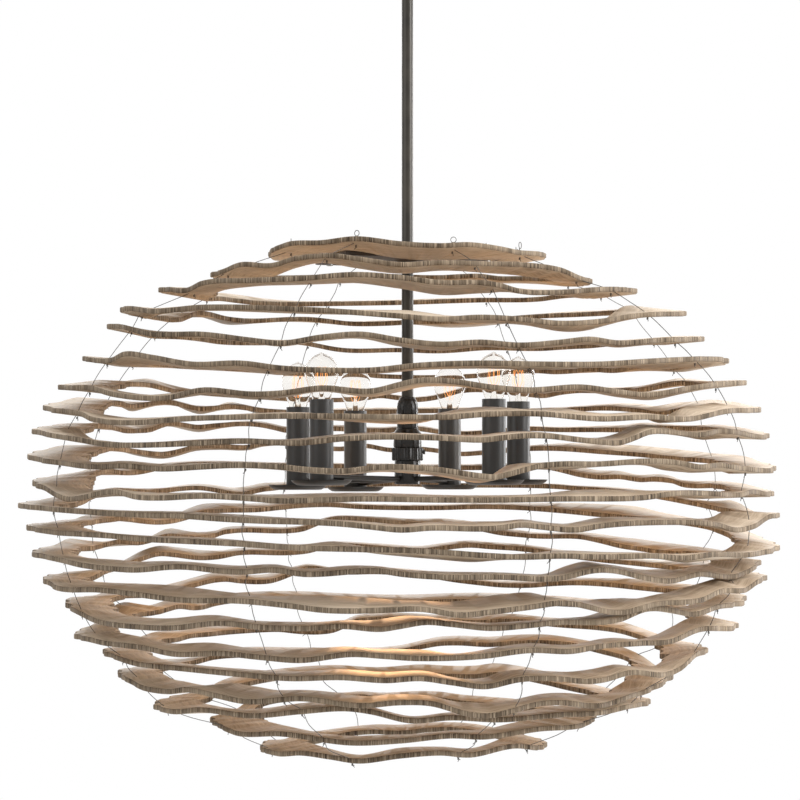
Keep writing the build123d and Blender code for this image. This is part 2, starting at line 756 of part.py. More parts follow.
def write_node(name, piece):
    solids = []
    for item in piece if isinstance(piece, list) else [piece]:
        solids += item.solids()
    shape = solids[0] if len(solids) == 1 else Compound(children=solids)
    export_step(shape, os.path.join("parts", name + ".step"))


def build():
    os.makedirs("parts", exist_ok=True)
    nodes = {
        "mounting_strap": mounting_strap(),
        "canopy": canopy(),
        "canopy_screws": canopy_screws(),
        "canopy_cap_nuts": cap_nuts(),
        "swivel_seat": swivel_seat(),
        "swivel_liner": swivel_liner(),
        "swivel_ball": swivel_ball(),
        "stem_lock_nut": stem_lock_nut(),
        "stem": stem(),
        "stem_collar": stem_collar(),
        "collar_screw": collar_screw(),
        "carrier_board": carrier_board(),
        "carrier_screws": carrier_screws(),
        "hanger_wires": [hanger_wire(azimuth) for azimuth in WIRE_AZIMUTHS],
        "hub_bell_cap": hub_bell_cap(),
        "hub_neck": hub_neck(),
        "hub_body": hub_body(),
        "hub_ribbed_ring": hub_ribbed_ring(),
        "hub_knob": hub_knob(),
        "hub_lower_shell": hub_lower_shell(),
        "hub_bottom_cover": hub_bottom_cover(),
        "lamp_arms": [arm(azimuth, droop) for azimuth, droop in zip(ARM_AZIMUTHS, ARM_DROOPS)],
        "drip_dishes": at_candles(drip_dish()),
        "candle_sleeves": at_candles(candle_sleeve()),
        "lampholder_posts": at_candles(holder_post()),
        "lampholders": at_candles(lampholder()),
        "bulb_caps": at_candles(bulb_cap()),
        "bulb_glasses": at_candles(bulb_glass()),
        "bulb_stems": at_candles(bulb_stem()),
        "bulb_filaments": at_candles(filament()),
    }
    for index in range(len(BOARD_RINGS)):
        nodes[f"ring_board_{index + 1:02d}"] = ring_board(index)
    for name, piece in nodes.items():
        write_node(name, piece)


build()
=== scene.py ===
import math
import random

import bmesh
import bpy
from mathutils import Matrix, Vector


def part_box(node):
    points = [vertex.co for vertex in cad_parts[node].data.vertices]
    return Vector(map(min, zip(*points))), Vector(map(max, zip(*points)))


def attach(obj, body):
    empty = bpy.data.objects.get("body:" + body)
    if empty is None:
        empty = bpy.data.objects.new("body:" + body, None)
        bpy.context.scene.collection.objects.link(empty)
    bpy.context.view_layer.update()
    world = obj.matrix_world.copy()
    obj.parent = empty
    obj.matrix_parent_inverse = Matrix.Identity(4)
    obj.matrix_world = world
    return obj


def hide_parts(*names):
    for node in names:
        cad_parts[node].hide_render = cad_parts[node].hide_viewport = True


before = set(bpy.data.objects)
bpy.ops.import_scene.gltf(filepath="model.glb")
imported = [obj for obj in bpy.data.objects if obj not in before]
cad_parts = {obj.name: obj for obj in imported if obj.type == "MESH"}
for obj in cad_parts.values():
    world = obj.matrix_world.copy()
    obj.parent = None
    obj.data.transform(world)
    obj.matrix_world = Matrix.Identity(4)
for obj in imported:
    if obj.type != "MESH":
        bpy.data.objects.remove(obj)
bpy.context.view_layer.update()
random.seed(22)

# ---------------------------------------------------------------- sizes and the photograph's view

MM = 0.001
PIXEL = 1.37               # millimetres for one pixel of the photograph at the orb's axis
VIEW_PIXELS = 2800.0       # camera to the orb's axis, in those pixels
PHOTO_SIZE = 800           # width and height of the photograph, in pixels
AXIS_X = 407.5             # photograph column of the stem
EYE_Y = 500.0              # photograph row of the orb's middle, which is the eye's height
DROP = 750.0               # ceiling to the orb's middle

ORB_RADIUS = 514.0
ORB_HALF_HEIGHT = 370.0
BOARD = 6.8
BAND = 50.0                # mean width of a board
BAND_WAVE = 13.0
TOP_BAND = 86.0
EDGE_WAVE = 8.0
CALM_RADIUS = 300.0        # boards smaller than this wave less
TOP_CALM = 0.3             # share of the waves on the top board
RING_TURN = 137.5          # degrees that each board's waves are turned from the last one's
END_SPREAD = 42.0          # degrees each side of an end over which the width blends
BACK_STARTS = 64.0         # azimuth where a board's line leaves the front list, in degrees
BACK_BLEND = 46.0          # degrees over which it goes over to the back list
STEPS = 360                # sections round a board ring
LUG = 3.2                  # short steps of the sawn outline
WORN_EDGE = 0.9            # rounding of a board's sawn corners

# Height above the orb's middle in millimetres, then in the photograph's pixels: the column
# of the left and of the right end, and the board's width at each.
RINGS = [
    (343, 268, 545, 50, 50), (310, 214, 591, 46, 40), (285, 160, 638, 50, 48), (253, 127, 681, 26, 56),
    (220, 110, 704, 34, 44), (184, 80, 727, 62, 45), (151, 62, 741, 46, 41), (120, 45, 763, 54, 50),
    (88, 38, 767, 41, 44), (53, 31, 774, 56, 48), (19, 29, 774, 58, 44), (-11, 24, 773, 40, 37),
    (-43, 27, 777, 50, 37), (-75, 36, 763, 39, 43), (-106, 45, 761, 40, 44), (-136, 66, 748, 44, 47),
    (-168, 80, 732, 40, 42), (-199, 102, 701, 40, 40), (-231, 121, 674, 39, 36), (-262, 158, 643, 42, 43),
    (-297, 213, 595, 45, 40), (-335, 263, 545, 40, 40),
]

# Line of each ring's front edge in the photograph: (column, row) pairs.
FRONTS = [
    ((268, 249), (290, 243), (320, 242), (355, 238), (400, 243), (440, 245), (470, 244),
     (500, 248), (520, 252), (545, 253)),
    ((214, 272), (240, 264), (270, 265), (295, 258), (330, 255), (355, 258), (400, 264),
     (440, 262), (480, 263), (520, 264), (560, 269), (591, 280)),
    ((160, 288), (185, 290), (200, 283), (250, 280), (300, 278), (355, 274), (400, 277),
     (440, 282), (480, 282), (500, 285), (520, 291), (560, 292), (600, 289), (638, 289)),
    ((127, 308), (150, 311), (200, 307), (300, 309), (350, 312), (400, 316), (440, 319),
     (480, 317), (520, 319), (560, 323), (600, 321), (640, 315), (681, 314)),
    ((110, 325), (150, 334), (200, 334), (250, 340), (280, 343), (320, 337), (360, 334),
     (400, 340), (440, 344), (480, 342), (520, 345), (560, 342), (590, 339), (620, 343),
     (660, 340), (704, 339)),
    ((80, 359), (110, 360), (122, 354), (150, 357), (190, 364), (240, 363), (280, 368),
     (320, 370), (370, 370), (420, 365), (480, 363), (540, 364), (600, 364), (650, 361),
     (690, 359), (727, 358)),
    ((62, 388), (90, 388), (110, 394), (165, 398), (200, 390), (250, 394), (280, 393),
     (320, 388), (370, 391), (400, 384), (420, 380), (450, 381), (490, 387), (530, 390),
     (580, 387), (620, 392), (650, 395), (690, 388), (741, 383)),
    ((45, 411), (80, 414), (90, 419), (200, 418), (300, 416), (400, 417), (450, 417),
     (490, 414), (540, 414), (600, 419), (650, 417), (690, 419), (730, 411), (763, 411)),
    ((38, 433), (48, 435), (80, 440), (100, 444), (115, 445), (150, 445), (200, 443),
     (245, 441), (280, 443), (300, 443), (320, 441), (340, 439), (380, 437), (440, 438),
     (480, 440), (500, 438), (520, 436), (545, 436), (580, 440), (600, 442), (618, 443),
     (632, 439), (650, 432), (670, 432), (700, 435), (720, 431), (735, 432), (767, 438)),
    ((31, 461), (60, 463), (80, 466), (100, 467), (120, 466), (160, 469), (200, 467),
     (240, 465), (280, 467), (310, 470), (345, 471), (380, 467), (420, 468), (440, 470),
     (460, 473), (480, 476), (495, 477), (505, 475), (540, 466), (560, 464), (600, 464),
     (650, 461), (680, 463), (700, 467), (720, 465), (740, 468), (774, 471)),
    ((29, 487), (42, 488), (55, 495), (65, 499), (80, 498), (100, 493), (115, 492),
     (135, 497), (160, 498), (200, 496), (240, 498), (280, 501), (320, 500), (360, 499),
     (440, 500), (500, 500), (560, 499), (640, 498), (680, 493), (720, 494), (740, 495),
     (752, 492), (774, 496)),
    ((24, 507), (60, 510), (100, 513), (140, 515), (180, 516), (220, 519), (260, 521),
     (300, 522), (340, 524), (370, 527), (400, 530), (430, 528), (480, 529), (500, 528),
     (520, 525), (540, 527), (575, 530), (600, 526), (640, 523), (700, 523), (718, 525),
     (735, 530), (755, 526), (773, 516)),
    ((27, 530), (60, 533), (100, 535), (140, 539), (180, 541), (240, 544), (300, 548),
     (340, 549), (400, 550), (440, 552), (480, 555), (520, 557), (560, 556), (600, 557),
     (655, 556), (685, 558), (715, 554), (745, 555), (777, 551)),
    ((36, 556), (60, 560), (80, 565), (115, 569), (135, 570), (170, 567), (185, 567),
     (220, 571), (240, 572), (275, 570), (300, 574), (320, 574), (360, 571), (380, 571),
     (400, 574), (440, 577), (500, 577), (545, 579), (560, 578), (590, 571), (600, 570),
     (615, 571), (645, 578), (670, 581), (700, 574), (730, 577), (745, 574), (763, 566)),
    ((45, 584), (55, 588), (100, 590), (140, 595), (180, 600), (240, 601), (290, 606),
     (320, 610), (350, 611), (385, 610), (420, 609), (460, 615), (490, 612), (530, 607),
     (560, 603), (580, 605), (610, 612), (625, 612), (655, 604), (700, 600), (722, 591),
     (745, 590), (761, 581)),
    ((66, 610), (100, 622), (140, 627), (170, 628), (220, 623), (260, 627), (310, 628),
     (340, 626), (380, 629), (400, 626), (425, 622), (450, 624), (490, 628), (530, 625),
     (560, 622), (600, 622), (620, 619), (645, 609), (665, 609), (695, 614), (720, 606),
     (748, 606)),
    ((80, 638), (105, 643), (140, 647), (175, 654), (220, 653), (260, 657), (300, 660),
     (350, 654), (385, 656), (415, 658), (480, 656), (530, 650), (570, 651), (600, 646),
     (640, 643), (670, 641), (700, 629), (732, 629)),
    ((102, 656), (140, 664), (180, 668), (240, 674), (290, 678), (340, 677), (385, 680),
     (420, 678), (450, 682), (485, 686), (520, 679), (550, 678), (590, 681), (605, 679),
     (630, 672), (665, 674), (680, 668), (701, 652)),
    ((121, 679), (145, 688), (170, 691), (185, 689), (215, 695), (245, 701), (300, 698),
     (360, 705), (400, 702), (430, 703), (470, 714), (490, 715), (540, 703), (560, 702),
     (600, 705), (635, 694), (674, 685)),
    ((158, 709), (175, 711), (200, 709), (250, 715), (300, 711), (345, 708), (370, 711),
     (410, 720), (450, 717), (500, 719), (560, 714), (600, 712), (643, 704)),
    ((213, 726), (240, 733), (280, 733), (350, 742), (400, 740), (450, 735), (485, 736),
     (540, 728), (580, 725), (595, 720)),
    ((263, 750), (280, 753), (300, 752), (330, 756), (358, 760), (400, 755), (440, 752),
     (470, 754), (515, 745), (545, 748)),
]

# How many pixels the inner edge stands above the front edge there: (column, pixels) pairs.
FRONT_FACES = [
    ((270, -8), (330, -11), (480, -12), (520, -9), (545, -4)),
    ((214, -3), (240, -8), (260, -10), (290, -8), (320, -5), (345, -7), (460, -6), (500, -8),
     (540, -10), (560, -10), (585, -4)),
    ((160, -1), (180, -4), (188, -13), (205, -13), (225, -7), (250, -4), (300, -4), (350, -6),
     (400, -9), (460, -10), (490, -7), (510, -1), (560, -1), (590, -7), (615, -7), (638, -2)),
    ((127, -5), (140, -7), (150, -3), (170, 0), (200, -1), (300, -2), (350, 0), (380, 2),
     (410, 4), (440, 2), (460, -2), (520, -3), (600, -3), (620, 8), (640, 9), (660, 7), (681, 1)),
    ((110, -1), (180, 0), (300, -1), (360, -2), (400, -4), (440, -4), (480, -2), (560, -2),
     (600, -3), (640, -1), (680, -4), (704, -1)),
    ((80, -1), (100, -4), (120, -12), (138, -10), (150, -6), (165, -3), (200, -3), (260, -5),
     (285, -4), (300, -1), (400, -2), (480, -3), (540, -3), (580, -1), (620, -2), (645, -5),
     (665, -7), (690, -4), (727, -3)),
    ((62, 0), (100, 3), (140, 1), (200, -1), (260, -3), (320, -1), (350, -2), (380, -4),
     (400, -5), (430, -4), (460, -2), (560, -1), (620, -3), (700, -1), (741, 0)),
    ((45, 2), (80, 5), (100, 4), (120, 3), (160, 1), (200, 0), (300, 1), (340, -2), (420, -3),
     (440, 2), (460, 5), (500, 4), (520, 2), (560, 5), (600, 3), (640, 2), (660, -3), (680, 8),
     (720, 8), (735, 2), (763, 0)),
    ((38, 1), (60, 4), (75, 10), (90, 2), (120, 0), (200, 1), (260, 0), (300, 2), (360, 2),
     (440, 1), (500, 3), (540, 1), (580, 0), (600, 2), (615, 7), (628, 11), (642, 8), (655, 2),
     (690, -1), (720, -5), (745, -7), (767, -2)),
    ((31, 2), (60, 3), (100, 2), (140, 3), (180, 2), (240, 0), (345, -1), (400, -3), (440, -4),
     (480, -4), (492, 0), (502, 6), (520, 5), (540, -1), (560, -3), (600, 0), (645, -2),
     (660, -6), (685, -6), (700, -3), (720, -4), (740, -8), (758, -7), (774, -1)),
    ((29, 2), (42, 5), (55, 13), (70, 14), (82, 11), (90, 3), (100, 1), (140, 3), (200, 1),
     (240, 1), (280, 4), (330, 4), (400, 3), (480, 2), (540, 3), (570, 6), (600, 7), (640, 5),
     (660, 2), (690, -3), (720, -3), (738, -4), (750, 4), (774, 1)),
    ((24, 0), (100, 1), (180, 2), (240, 3), (300, 1), (400, 3), (450, 4), (480, 5), (520, 3),
     (560, 3), (580, 6), (600, 6), (640, 3), (680, 2), (710, 4), (722, 12), (735, 16),
     (755, 12), (773, 2)),
    ((27, 2), (55, 6), (80, 4), (100, 1), (140, 1), (200, 2), (300, 1), (335, 5), (352, 2),
     (380, -2), (440, -5), (470, -5), (500, -1), (540, 2), (560, 3), (640, 1), (690, -2),
     (720, 0), (740, 12), (752, 14), (765, 10), (777, 3)),
    ((36, 1), (45, 4), (60, 8), (75, 6), (120, 7), (150, 5), (180, 3), (220, 4), (300, 3),
     (340, 4), (380, 2), (440, 3), (520, 2), (545, 3), (560, 8), (580, 9), (600, 4), (620, 3),
     (645, 6), (660, 9), (690, 7), (705, 7), (717, 13), (735, 14), (750, 10), (763, 2)),
    ((45, 4), (90, 5), (110, 6), (140, 9), (180, 12), (200, 10), (230, 6), (260, 5), (290, 8),
     (320, 12), (350, 12), (380, 9), (410, 6), (440, 8), (460, 12), (500, 14), (530, 12),
     (545, 6), (560, 2), (580, 2), (600, 9), (620, 12), (640, 8), (665, 8), (685, 13),
     (705, 15), (720, 11), (735, 6), (755, 2)),
    ((66, 3), (75, 8), (90, 14), (110, 10), (140, 8), (200, 7), (240, 4), (300, 4), (330, 3),
     (360, 5), (385, 8), (405, 7), (425, 3), (500, 3), (580, 3), (600, 8), (615, 10), (632, 7),
     (650, 1), (680, 3), (700, 12), (722, 12), (735, 9), (748, 3)),
    ((80, 2), (90, 12), (105, 13), (122, 10), (155, 8), (200, 9), (240, 6), (270, 6), (300, 9),
     (340, 6), (375, 4), (400, 6), (425, 6), (450, 2), (500, 5), (560, 4), (610, 5), (640, 2),
     (655, 6), (670, 12), (690, 13), (705, 8), (732, 2)),
    ((102, 3), (115, 9), (130, 11), (145, 9), (165, 5), (190, 3), (220, 3), (300, 5), (380, 6),
     (430, 5), (460, 3), (480, 6), (500, 10), (520, 7), (560, 5), (590, 10), (610, 11),
     (630, 4), (650, 4), (665, 12), (682, 14), (701, 3)),
    ((121, 3), (135, 10), (150, 16), (165, 14), (180, 7), (200, 5), (215, 8), (230, 14),
     (255, 13), (280, 7), (340, 8), (370, 7), (400, 6), (450, 6), (470, 10), (490, 11),
     (520, 8), (580, 8), (610, 10), (630, 13), (650, 10), (674, 3)),
    ((158, 3), (175, 7), (190, 11), (202, 5), (220, 3), (250, 4), (330, 6), (360, 3),
     (450, 3), (480, 4), (520, 5), (560, 7), (600, 9), (625, 9), (643, 3)),
    ((213, 3), (225, 8), (245, 13), (262, 10), (300, 5), (380, 5), (420, 3), (450, 3),
     (480, 5), (510, 8), (570, 8), (595, 3)),
    ((263, 3), (275, 9), (290, 14), (305, 10), (330, 6), (360, 4), (400, 6), (440, 4),
     (480, 5), (510, 8), (530, 5), (545, 2)),
]

# Line of each ring's back, at the middle of its inner edge: (column, row) pairs.
BACKS = [
    ((285, 252), (330, 256), (400, 257), (480, 257), (520, 255), (540, 252)),
    ((230, 274), (260, 277), (300, 277), (360, 275), (440, 277), (460, 276), (480, 275.5),
     (500, 278), (520, 278), (545, 279), (570, 281)),
    ((165, 293), (185, 295), (203, 299), (220, 298.5), (240, 301), (260, 303), (300, 304),
     (340, 303.5), (400, 302.5), (480, 300), (540, 299), (555, 297), (570, 295), (585, 295),
     (600, 297), (625, 294)),
    ((128, 317), (150, 319), (180, 320), (190, 316), (198, 313), (210, 314), (225, 318),
     (240, 320), (260, 320.5), (290, 319), (310, 319), (330, 321), (350, 323.5), (385, 323.5),
     (414, 322), (460, 321), (500, 319), (533, 316.5), (590, 314), (617, 312.5), (640, 311),
     (665, 313)),
    ((120, 331), (135, 333), (150, 336), (180, 337), (200, 339), (220, 342), (260, 343),
     (300, 342.5), (315, 345), (335, 349), (350, 350.5), (400, 350), (440, 351), (465, 349.5),
     (480, 348), (545, 348.5), (565, 347), (590, 346), (610, 344), (640, 342), (690, 341)),
    ((85, 360), (105, 364), (117, 366), (135, 366), (150, 363), (165, 365), (190, 367),
     (220, 368), (260, 370), (300, 373), (362, 374), (380, 376), (476, 376), (510, 372),
     (538, 371), (555, 372), (575, 371), (590, 369), (605, 370.5), (618, 370.5), (635, 367),
     (650, 366.5), (668, 368), (685, 367), (700, 364), (722, 361)),
    ((66, 387), (90, 385), (100, 384), (115, 386), (135, 384), (150, 385), (165, 389),
     (178, 392), (200, 393), (260, 396), (300, 399), (340, 400), (368, 398), (380, 396),
     (398, 398), (414, 400), (435, 398), (463, 391), (480, 390), (500, 392), (531, 395),
     (545, 396), (560, 393), (575, 391), (600, 391), (650, 389), (665, 385), (680, 382.5),
     (700, 384), (720, 386), (738, 384)),
    ((50, 408), (75, 406), (100, 408), (110, 404), (120, 403), (130, 406), (145, 405),
     (160, 402), (170, 402), (185, 406), (200, 409), (215, 408), (230, 406), (245, 408),
     (270, 411), (380, 412), (440, 411), (541, 411), (570, 410), (600, 408.5), (620, 409),
     (640, 411), (660, 414), (675, 411), (690, 410), (710, 408), (735, 409), (760, 410)),
    ((42, 430), (84, 430), (92, 427), (100, 425), (112, 427), (125, 431), (140, 431),
     (152, 430), (162, 426), (172, 423.5), (185, 425), (198, 427), (215, 425.5), (240, 424),
     (260, 425), (275, 428), (288, 431), (335, 429), (380, 431), (418, 429), (440, 432),
     (461, 434), (482, 433), (529, 429), (560, 430), (600, 430), (625, 430), (640, 428),
     (690, 429), (715, 428), (740, 431), (760, 434)),
    ((38, 455), (60, 453), (80, 453), (95, 451), (108, 449), (120, 449), (140, 452),
     (165, 454), (180, 451), (195, 447), (220, 446), (250, 447), (262, 444), (300, 444),
     (335, 449), (345, 449), (366, 446), (390, 450), (420, 449), (440, 451), (460, 454),
     (482, 453), (529, 449), (560, 449), (600, 452), (640, 455), (680, 459), (710, 461),
     (745, 462), (768, 466)),
    ((36, 482), (60, 480), (80, 477), (90, 474), (110, 471), (125, 473), (140, 472.5),
     (152, 470), (165, 467), (300, 466), (482, 468), (520, 467), (545, 467), (560, 470),
     (580, 475), (600, 477.5), (620, 477), (640, 480), (660, 479), (672, 481), (683, 485),
     (720, 486), (745, 489), (768, 494)),
    ((30, 505), (60, 503), (80, 502), (95, 496), (110, 491), (150, 492), (165, 491),
     (180, 489), (200, 488), (215, 490), (235, 494), (250, 493), (262, 490), (275, 488.5),
     (290, 486.5), (330, 486), (370, 484.5), (400, 483.5), (440, 485), (560, 487), (580, 489),
     (600, 490), (640, 494), (670, 499), (690, 503), (710, 507), (728, 510), (737, 514),
     (765, 518)),
    ((34, 528), (60, 528), (75, 527), (84, 522.5), (100, 521), (112, 520), (125, 518.5),
     (140, 521), (160, 522.5), (175, 521), (190, 517), (205, 512.5), (220, 511), (260, 510),
     (280, 508), (300, 506), (330, 505), (360, 507), (400, 508), (440, 508), (480, 507),
     (520, 508), (560, 511), (600, 515), (640, 519), (660, 521), (690, 524), (710, 528),
     (725, 533), (735, 537), (742, 543), (770, 545)),
    ((45, 553), (75, 548), (95, 548), (110, 544), (120, 541.5), (140, 543), (150, 541),
     (160, 538), (170, 535.5), (185, 537), (200, 538), (215, 536), (225, 532), (240, 530.5),
     (290, 531), (305, 529), (320, 523), (335, 519), (350, 518.5), (370, 520), (390, 522),
     (410, 524), (450, 525), (480, 529), (500, 533), (520, 535), (540, 536.5), (580, 537),
     (600, 541), (620, 546), (640, 549), (660, 552), (700, 554), (720, 556), (755, 562)),
    ((55, 576), (80, 577.5), (92, 577), (102, 572), (115, 569), (130, 564), (145, 558),
     (160, 554), (175, 555), (200, 558), (220, 557), (240, 553), (290, 553), (310, 551),
     (325, 547), (345, 545.5), (380, 548), (420, 551), (445, 548), (470, 545.5), (490, 547),
     (520, 549), (545, 552), (570, 556), (600, 560), (640, 564), (665, 567), (690, 570),
     (715, 571), (750, 574)),
    ((75, 603), (95, 604), (105, 601), (115, 597), (150, 595), (170, 591), (185, 588),
     (200, 584), (215, 580.5), (228, 579.5), (240, 581), (258, 582), (272, 581), (285, 577),
     (297, 572), (308, 568), (322, 569), (340, 572), (380, 572), (430, 576), (455, 580),
     (480, 583), (500, 585), (530, 585.5), (550, 584), (575, 583), (600, 584), (640, 588),
     (665, 590.5), (690, 592), (715, 592), (740, 597)),
    ((88, 632), (105, 622), (118, 612), (128, 610), (138, 613), (160, 612), (170, 609),
     (180, 606.5), (195, 608), (205, 607), (215, 604), (225, 602), (260, 599), (300, 598),
     (340, 600), (400, 602), (480, 601), (560, 604), (600, 606), (640, 607), (660, 607),
     (680, 609), (690, 613), (700, 617), (725, 623)),
    ((110, 652), (135, 647), (155, 641), (180, 639), (190, 636), (210, 634), (230, 632),
     (260, 630), (280, 629.5), (300, 631.5), (320, 632), (335, 630), (345, 626), (355, 621.5),
     (370, 619.5), (400, 618.5), (440, 620.5), (480, 622), (500, 620.5), (520, 621),
     (540, 623), (560, 625), (600, 628), (620, 631), (640, 637), (662, 644), (695, 650)),
    ((130, 674), (150, 671), (180, 665), (200, 661), (215, 657), (240, 655), (300, 655),
     (360, 654), (400, 651), (420, 647), (440, 643.5), (460, 643), (490, 644.5), (510, 643),
     (540, 642), (560, 643), (580, 646), (600, 651), (620, 656), (640, 663), (665, 675)),
    ((170, 703), (190, 702), (205, 699), (225, 690), (260, 681), (300, 675), (320, 673),
     (340, 672), (380, 674), (420, 673), (450, 675.5), (475, 676), (495, 674), (520, 677),
     (545, 682), (570, 688), (590, 692), (610, 696), (635, 700)),
    ((222, 721), (245, 714), (262, 704), (300, 698), (345, 697), (360, 696), (380, 698),
     (420, 698), (440, 699), (460, 702), (485, 704), (520, 707), (540, 711), (560, 714),
     (588, 718)),
    ((272, 747), (290, 746), (305, 743), (320, 740), (335, 736.5), (350, 733), (375, 731),
     (400, 732), (430, 729), (450, 728.5), (480, 732), (500, 736), (515, 739), (540, 744)),
]

# How many pixels the outer edge stands above that line: (column, pixels) pairs.
BACK_FACES = [
    ((285, -6), (540, -6)),
    ((230, -5), (400, -5), (460, -3), (570, -3)),
    ((165, 2), (203, 3), (240, 4), (300, 1), (440, 1), (540, 0), (600, 2)),
    ((128, 2), (165, 5), (185, 4), (198, -1), (220, -4), (260, 0), (310, -1), (400, 1),
     (450, -4), (500, -3), (560, 1), (617, 1)),
    ((130, 3), (160, 2), (200, 1), (400, 0), (560, 0), (640, 1), (690, 3)),
    ((100, 2), (150, 1), (260, -1), (400, 0), (600, 1), (650, 0), (700, -3)),
    ((75, 2), (100, 2), (130, 2), (150, 4), (170, 3), (200, 0), (400, 1), (560, 1), (680, 2)),
    ((55, 4), (95, 7), (107, 3), (130, -3), (160, 2), (200, -3), (232, 2), (262, -2),
     (300, 1), (560, 1), (600, 2), (640, 5), (690, 6), (735, 5), (755, 2)),
    ((45, 4), (72, 6), (95, 2), (125, 4), (150, 5), (172, -1), (200, -3), (240, 1), (300, 2),
     (560, 1), (640, 3), (700, 1), (755, 2)),
    ((40, 5), (90, 5), (105, 2), (140, -2), (200, -2), (300, 0), (540, 2), (580, 5),
     (620, 7), (690, 7), (725, 5), (760, 3)),
    ((45, 3), (110, 3), (150, 2), (480, 2), (560, 3), (575, 6), (600, 5), (640, 3), (760, 3)),
    ((40, 4), (70, 5), (90, 2), (200, 2), (250, 5), (275, 4), (310, 1), (560, 1), (620, 2),
     (690, 3), (720, 5), (737, 10), (765, 4)),
    ((40, 4), (70, 6), (90, 4), (125, 3), (170, 3), (192, 7), (215, 6), (240, 5), (290, 4),
     (340, 2), (480, 2), (520, 3), (560, 6), (600, 9), (640, 10), (660, 7), (700, 4),
     (728, 6), (742, 12), (770, 6)),
    ((50, 5), (70, 8), (85, 3), (150, 2), (165, 5), (200, 3), (300, 2), (350, 1), (400, 3),
     (440, 4), (500, 4), (540, 2), (580, 3), (600, 5), (620, 7), (660, 8), (700, 5), (755, 3)),
    ((65, 4), (95, 4), (112, 2), (140, 6), (175, 6), (200, 6), (240, 3), (290, 5), (345, 2),
     (400, 3), (500, 3), (600, 3), (660, 4), (700, 8), (750, 3)),
    ((85, 6), (110, 8), (130, 8), (160, 5), (190, 6), (215, 6), (250, 5), (285, 6), (310, 2),
     (400, 3), (530, 3), (600, 4), (640, 7), (680, 6), (735, 4)),
    ((95, 7), (125, 6), (150, 6), (165, 8), (185, 5), (225, 6), (300, 5), (560, 6),
     (640, 3), (690, 4), (720, 3)),
    ((115, 5), (150, 7), (200, 6), (240, 5), (280, 4), (380, 4), (440, 4), (500, 5),
     (560, 5), (620, 8), (690, 6)),
    ((135, 5), (160, 8), (180, 4), (200, 4), (240, 6), (300, 6), (400, 4), (440, 5),
     (480, 6), (540, 6), (580, 5), (620, 8), (660, 5)),
    ((180, 7), (220, 9), (260, 8), (320, 6), (360, 5), (400, 6), (440, 8), (560, 9),
     (630, 5)),
    ((230, 6), (250, 10), (300, 6), (345, 3), (380, 4), (440, 6), (520, 6), (585, 6)),
    ((280, 6), (300, 9), (330, 7), (350, 5), (400, 6), (440, 5), (480, 6), (535, 5)),
]

WIRES = (20.6, 65.0, 114.4, 157.2, -157.5, -111.2, -71.2, -24.2)   # azimuths in degrees
WIRE_RADIUS = 0.5
WIRE_INSET = 26.0          # from the orb's outside to the wires
WIRE_MARGIN = 9.0          # least distance from a wire to a board's edge
KNOT_RADIUS = 1.1
KNOT_WIRE = 0.45
# Azimuth of each arm in degrees, and how far its end droops in millimetres.
ARMS = ((-152.0, 5.5), (-105.0, 3.5), (-47.0, -2.0), (47.0, -2.5), (102.5, -4.0), (157.4, 2.5))
CLUSTER = 157.0            # stem to candle


# ---------------------------------------------------------------- shared helpers

def around(radius, angle, height):
    """Point in millimetres; angle in radians, 0 at the front, turning towards +X."""
    return Vector((radius * math.sin(angle), -radius * math.cos(angle), height))


def smooth_step(value):
    value = min(1.0, max(0.0, value))
    return value * value * (3 - 2 * value)


def along_line(points, x):
    """Smooth value of a line of (x, y) points at x."""
    if x <= points[0][0]:
        return points[0][1]
    if x >= points[-1][0]:
        return points[-1][1]
    n = 0
    while points[n + 1][0] < x:
        n += 1
    x0, y0 = points[n]
    x1, y1 = points[n + 1]

    def slope(k):
        if k == 0 or k == len(points) - 1:
            return 0.0
        left = (points[k][1] - points[k - 1][1]) / (points[k][0] - points[k - 1][0])
        right = (points[k + 1][1] - points[k][1]) / (points[k + 1][0] - points[k][0])
        return 0.5 * (left + right)

    span = x1 - x0
    t = (x - x0) / span
    a = slope(n) * span
    b = slope(n + 1) * span
    return (
        (2 * t ** 3 - 3 * t ** 2 + 1) * y0
        + (t ** 3 - 2 * t ** 2 + t) * a
        + (3 * t ** 2 - 2 * t ** 3) * y1
        + (t ** 3 - t ** 2) * b
    )


def new_object(name, verts, faces, body, materials, kinds=None, sharp=35.0):
    """A smooth-shaded mesh piece, given in millimetres, that rides on a body."""
    mesh = bpy.data.meshes.new(name)
    mesh.from_pydata([Vector(v) * MM for v in verts], [], faces)
    for material in materials:
        mesh.materials.append(material)
    if kinds:
        mesh.polygons.foreach_set("material_index", kinds)
    mesh.shade_smooth()
    mesh.set_sharp_from_angle(angle=math.radians(sharp))
    mesh.update()
    piece = bpy.data.objects.new(name, mesh)
    bpy.context.scene.collection.objects.link(piece)
    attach(piece, body)
    return piece


def rounded(profile, radius, closed):
    """The same outline with its corners rounded."""
    points = [Vector(p) for p in profile]
    count = len(points)
    steps = 3
    result = []
    for n, point in enumerate(points):
        if not closed and n in (0, count - 1):
            result.append(tuple(point))
            continue
        before = points[n - 1] - point
        after = points[(n + 1) % count] - point
        reach = min(radius, 0.45 * before.length, 0.45 * after.length)
        if reach <= 0 or point[0] == 0:
            result.append(tuple(point))
            continue
        first = point + before.normalized() * reach
        last = point + after.normalized() * reach
        for k in range(steps + 1):
            t = k / steps
            result.append(tuple((1 - t) ** 2 * first + 2 * t * (1 - t) * point + t ** 2 * last))
    return result


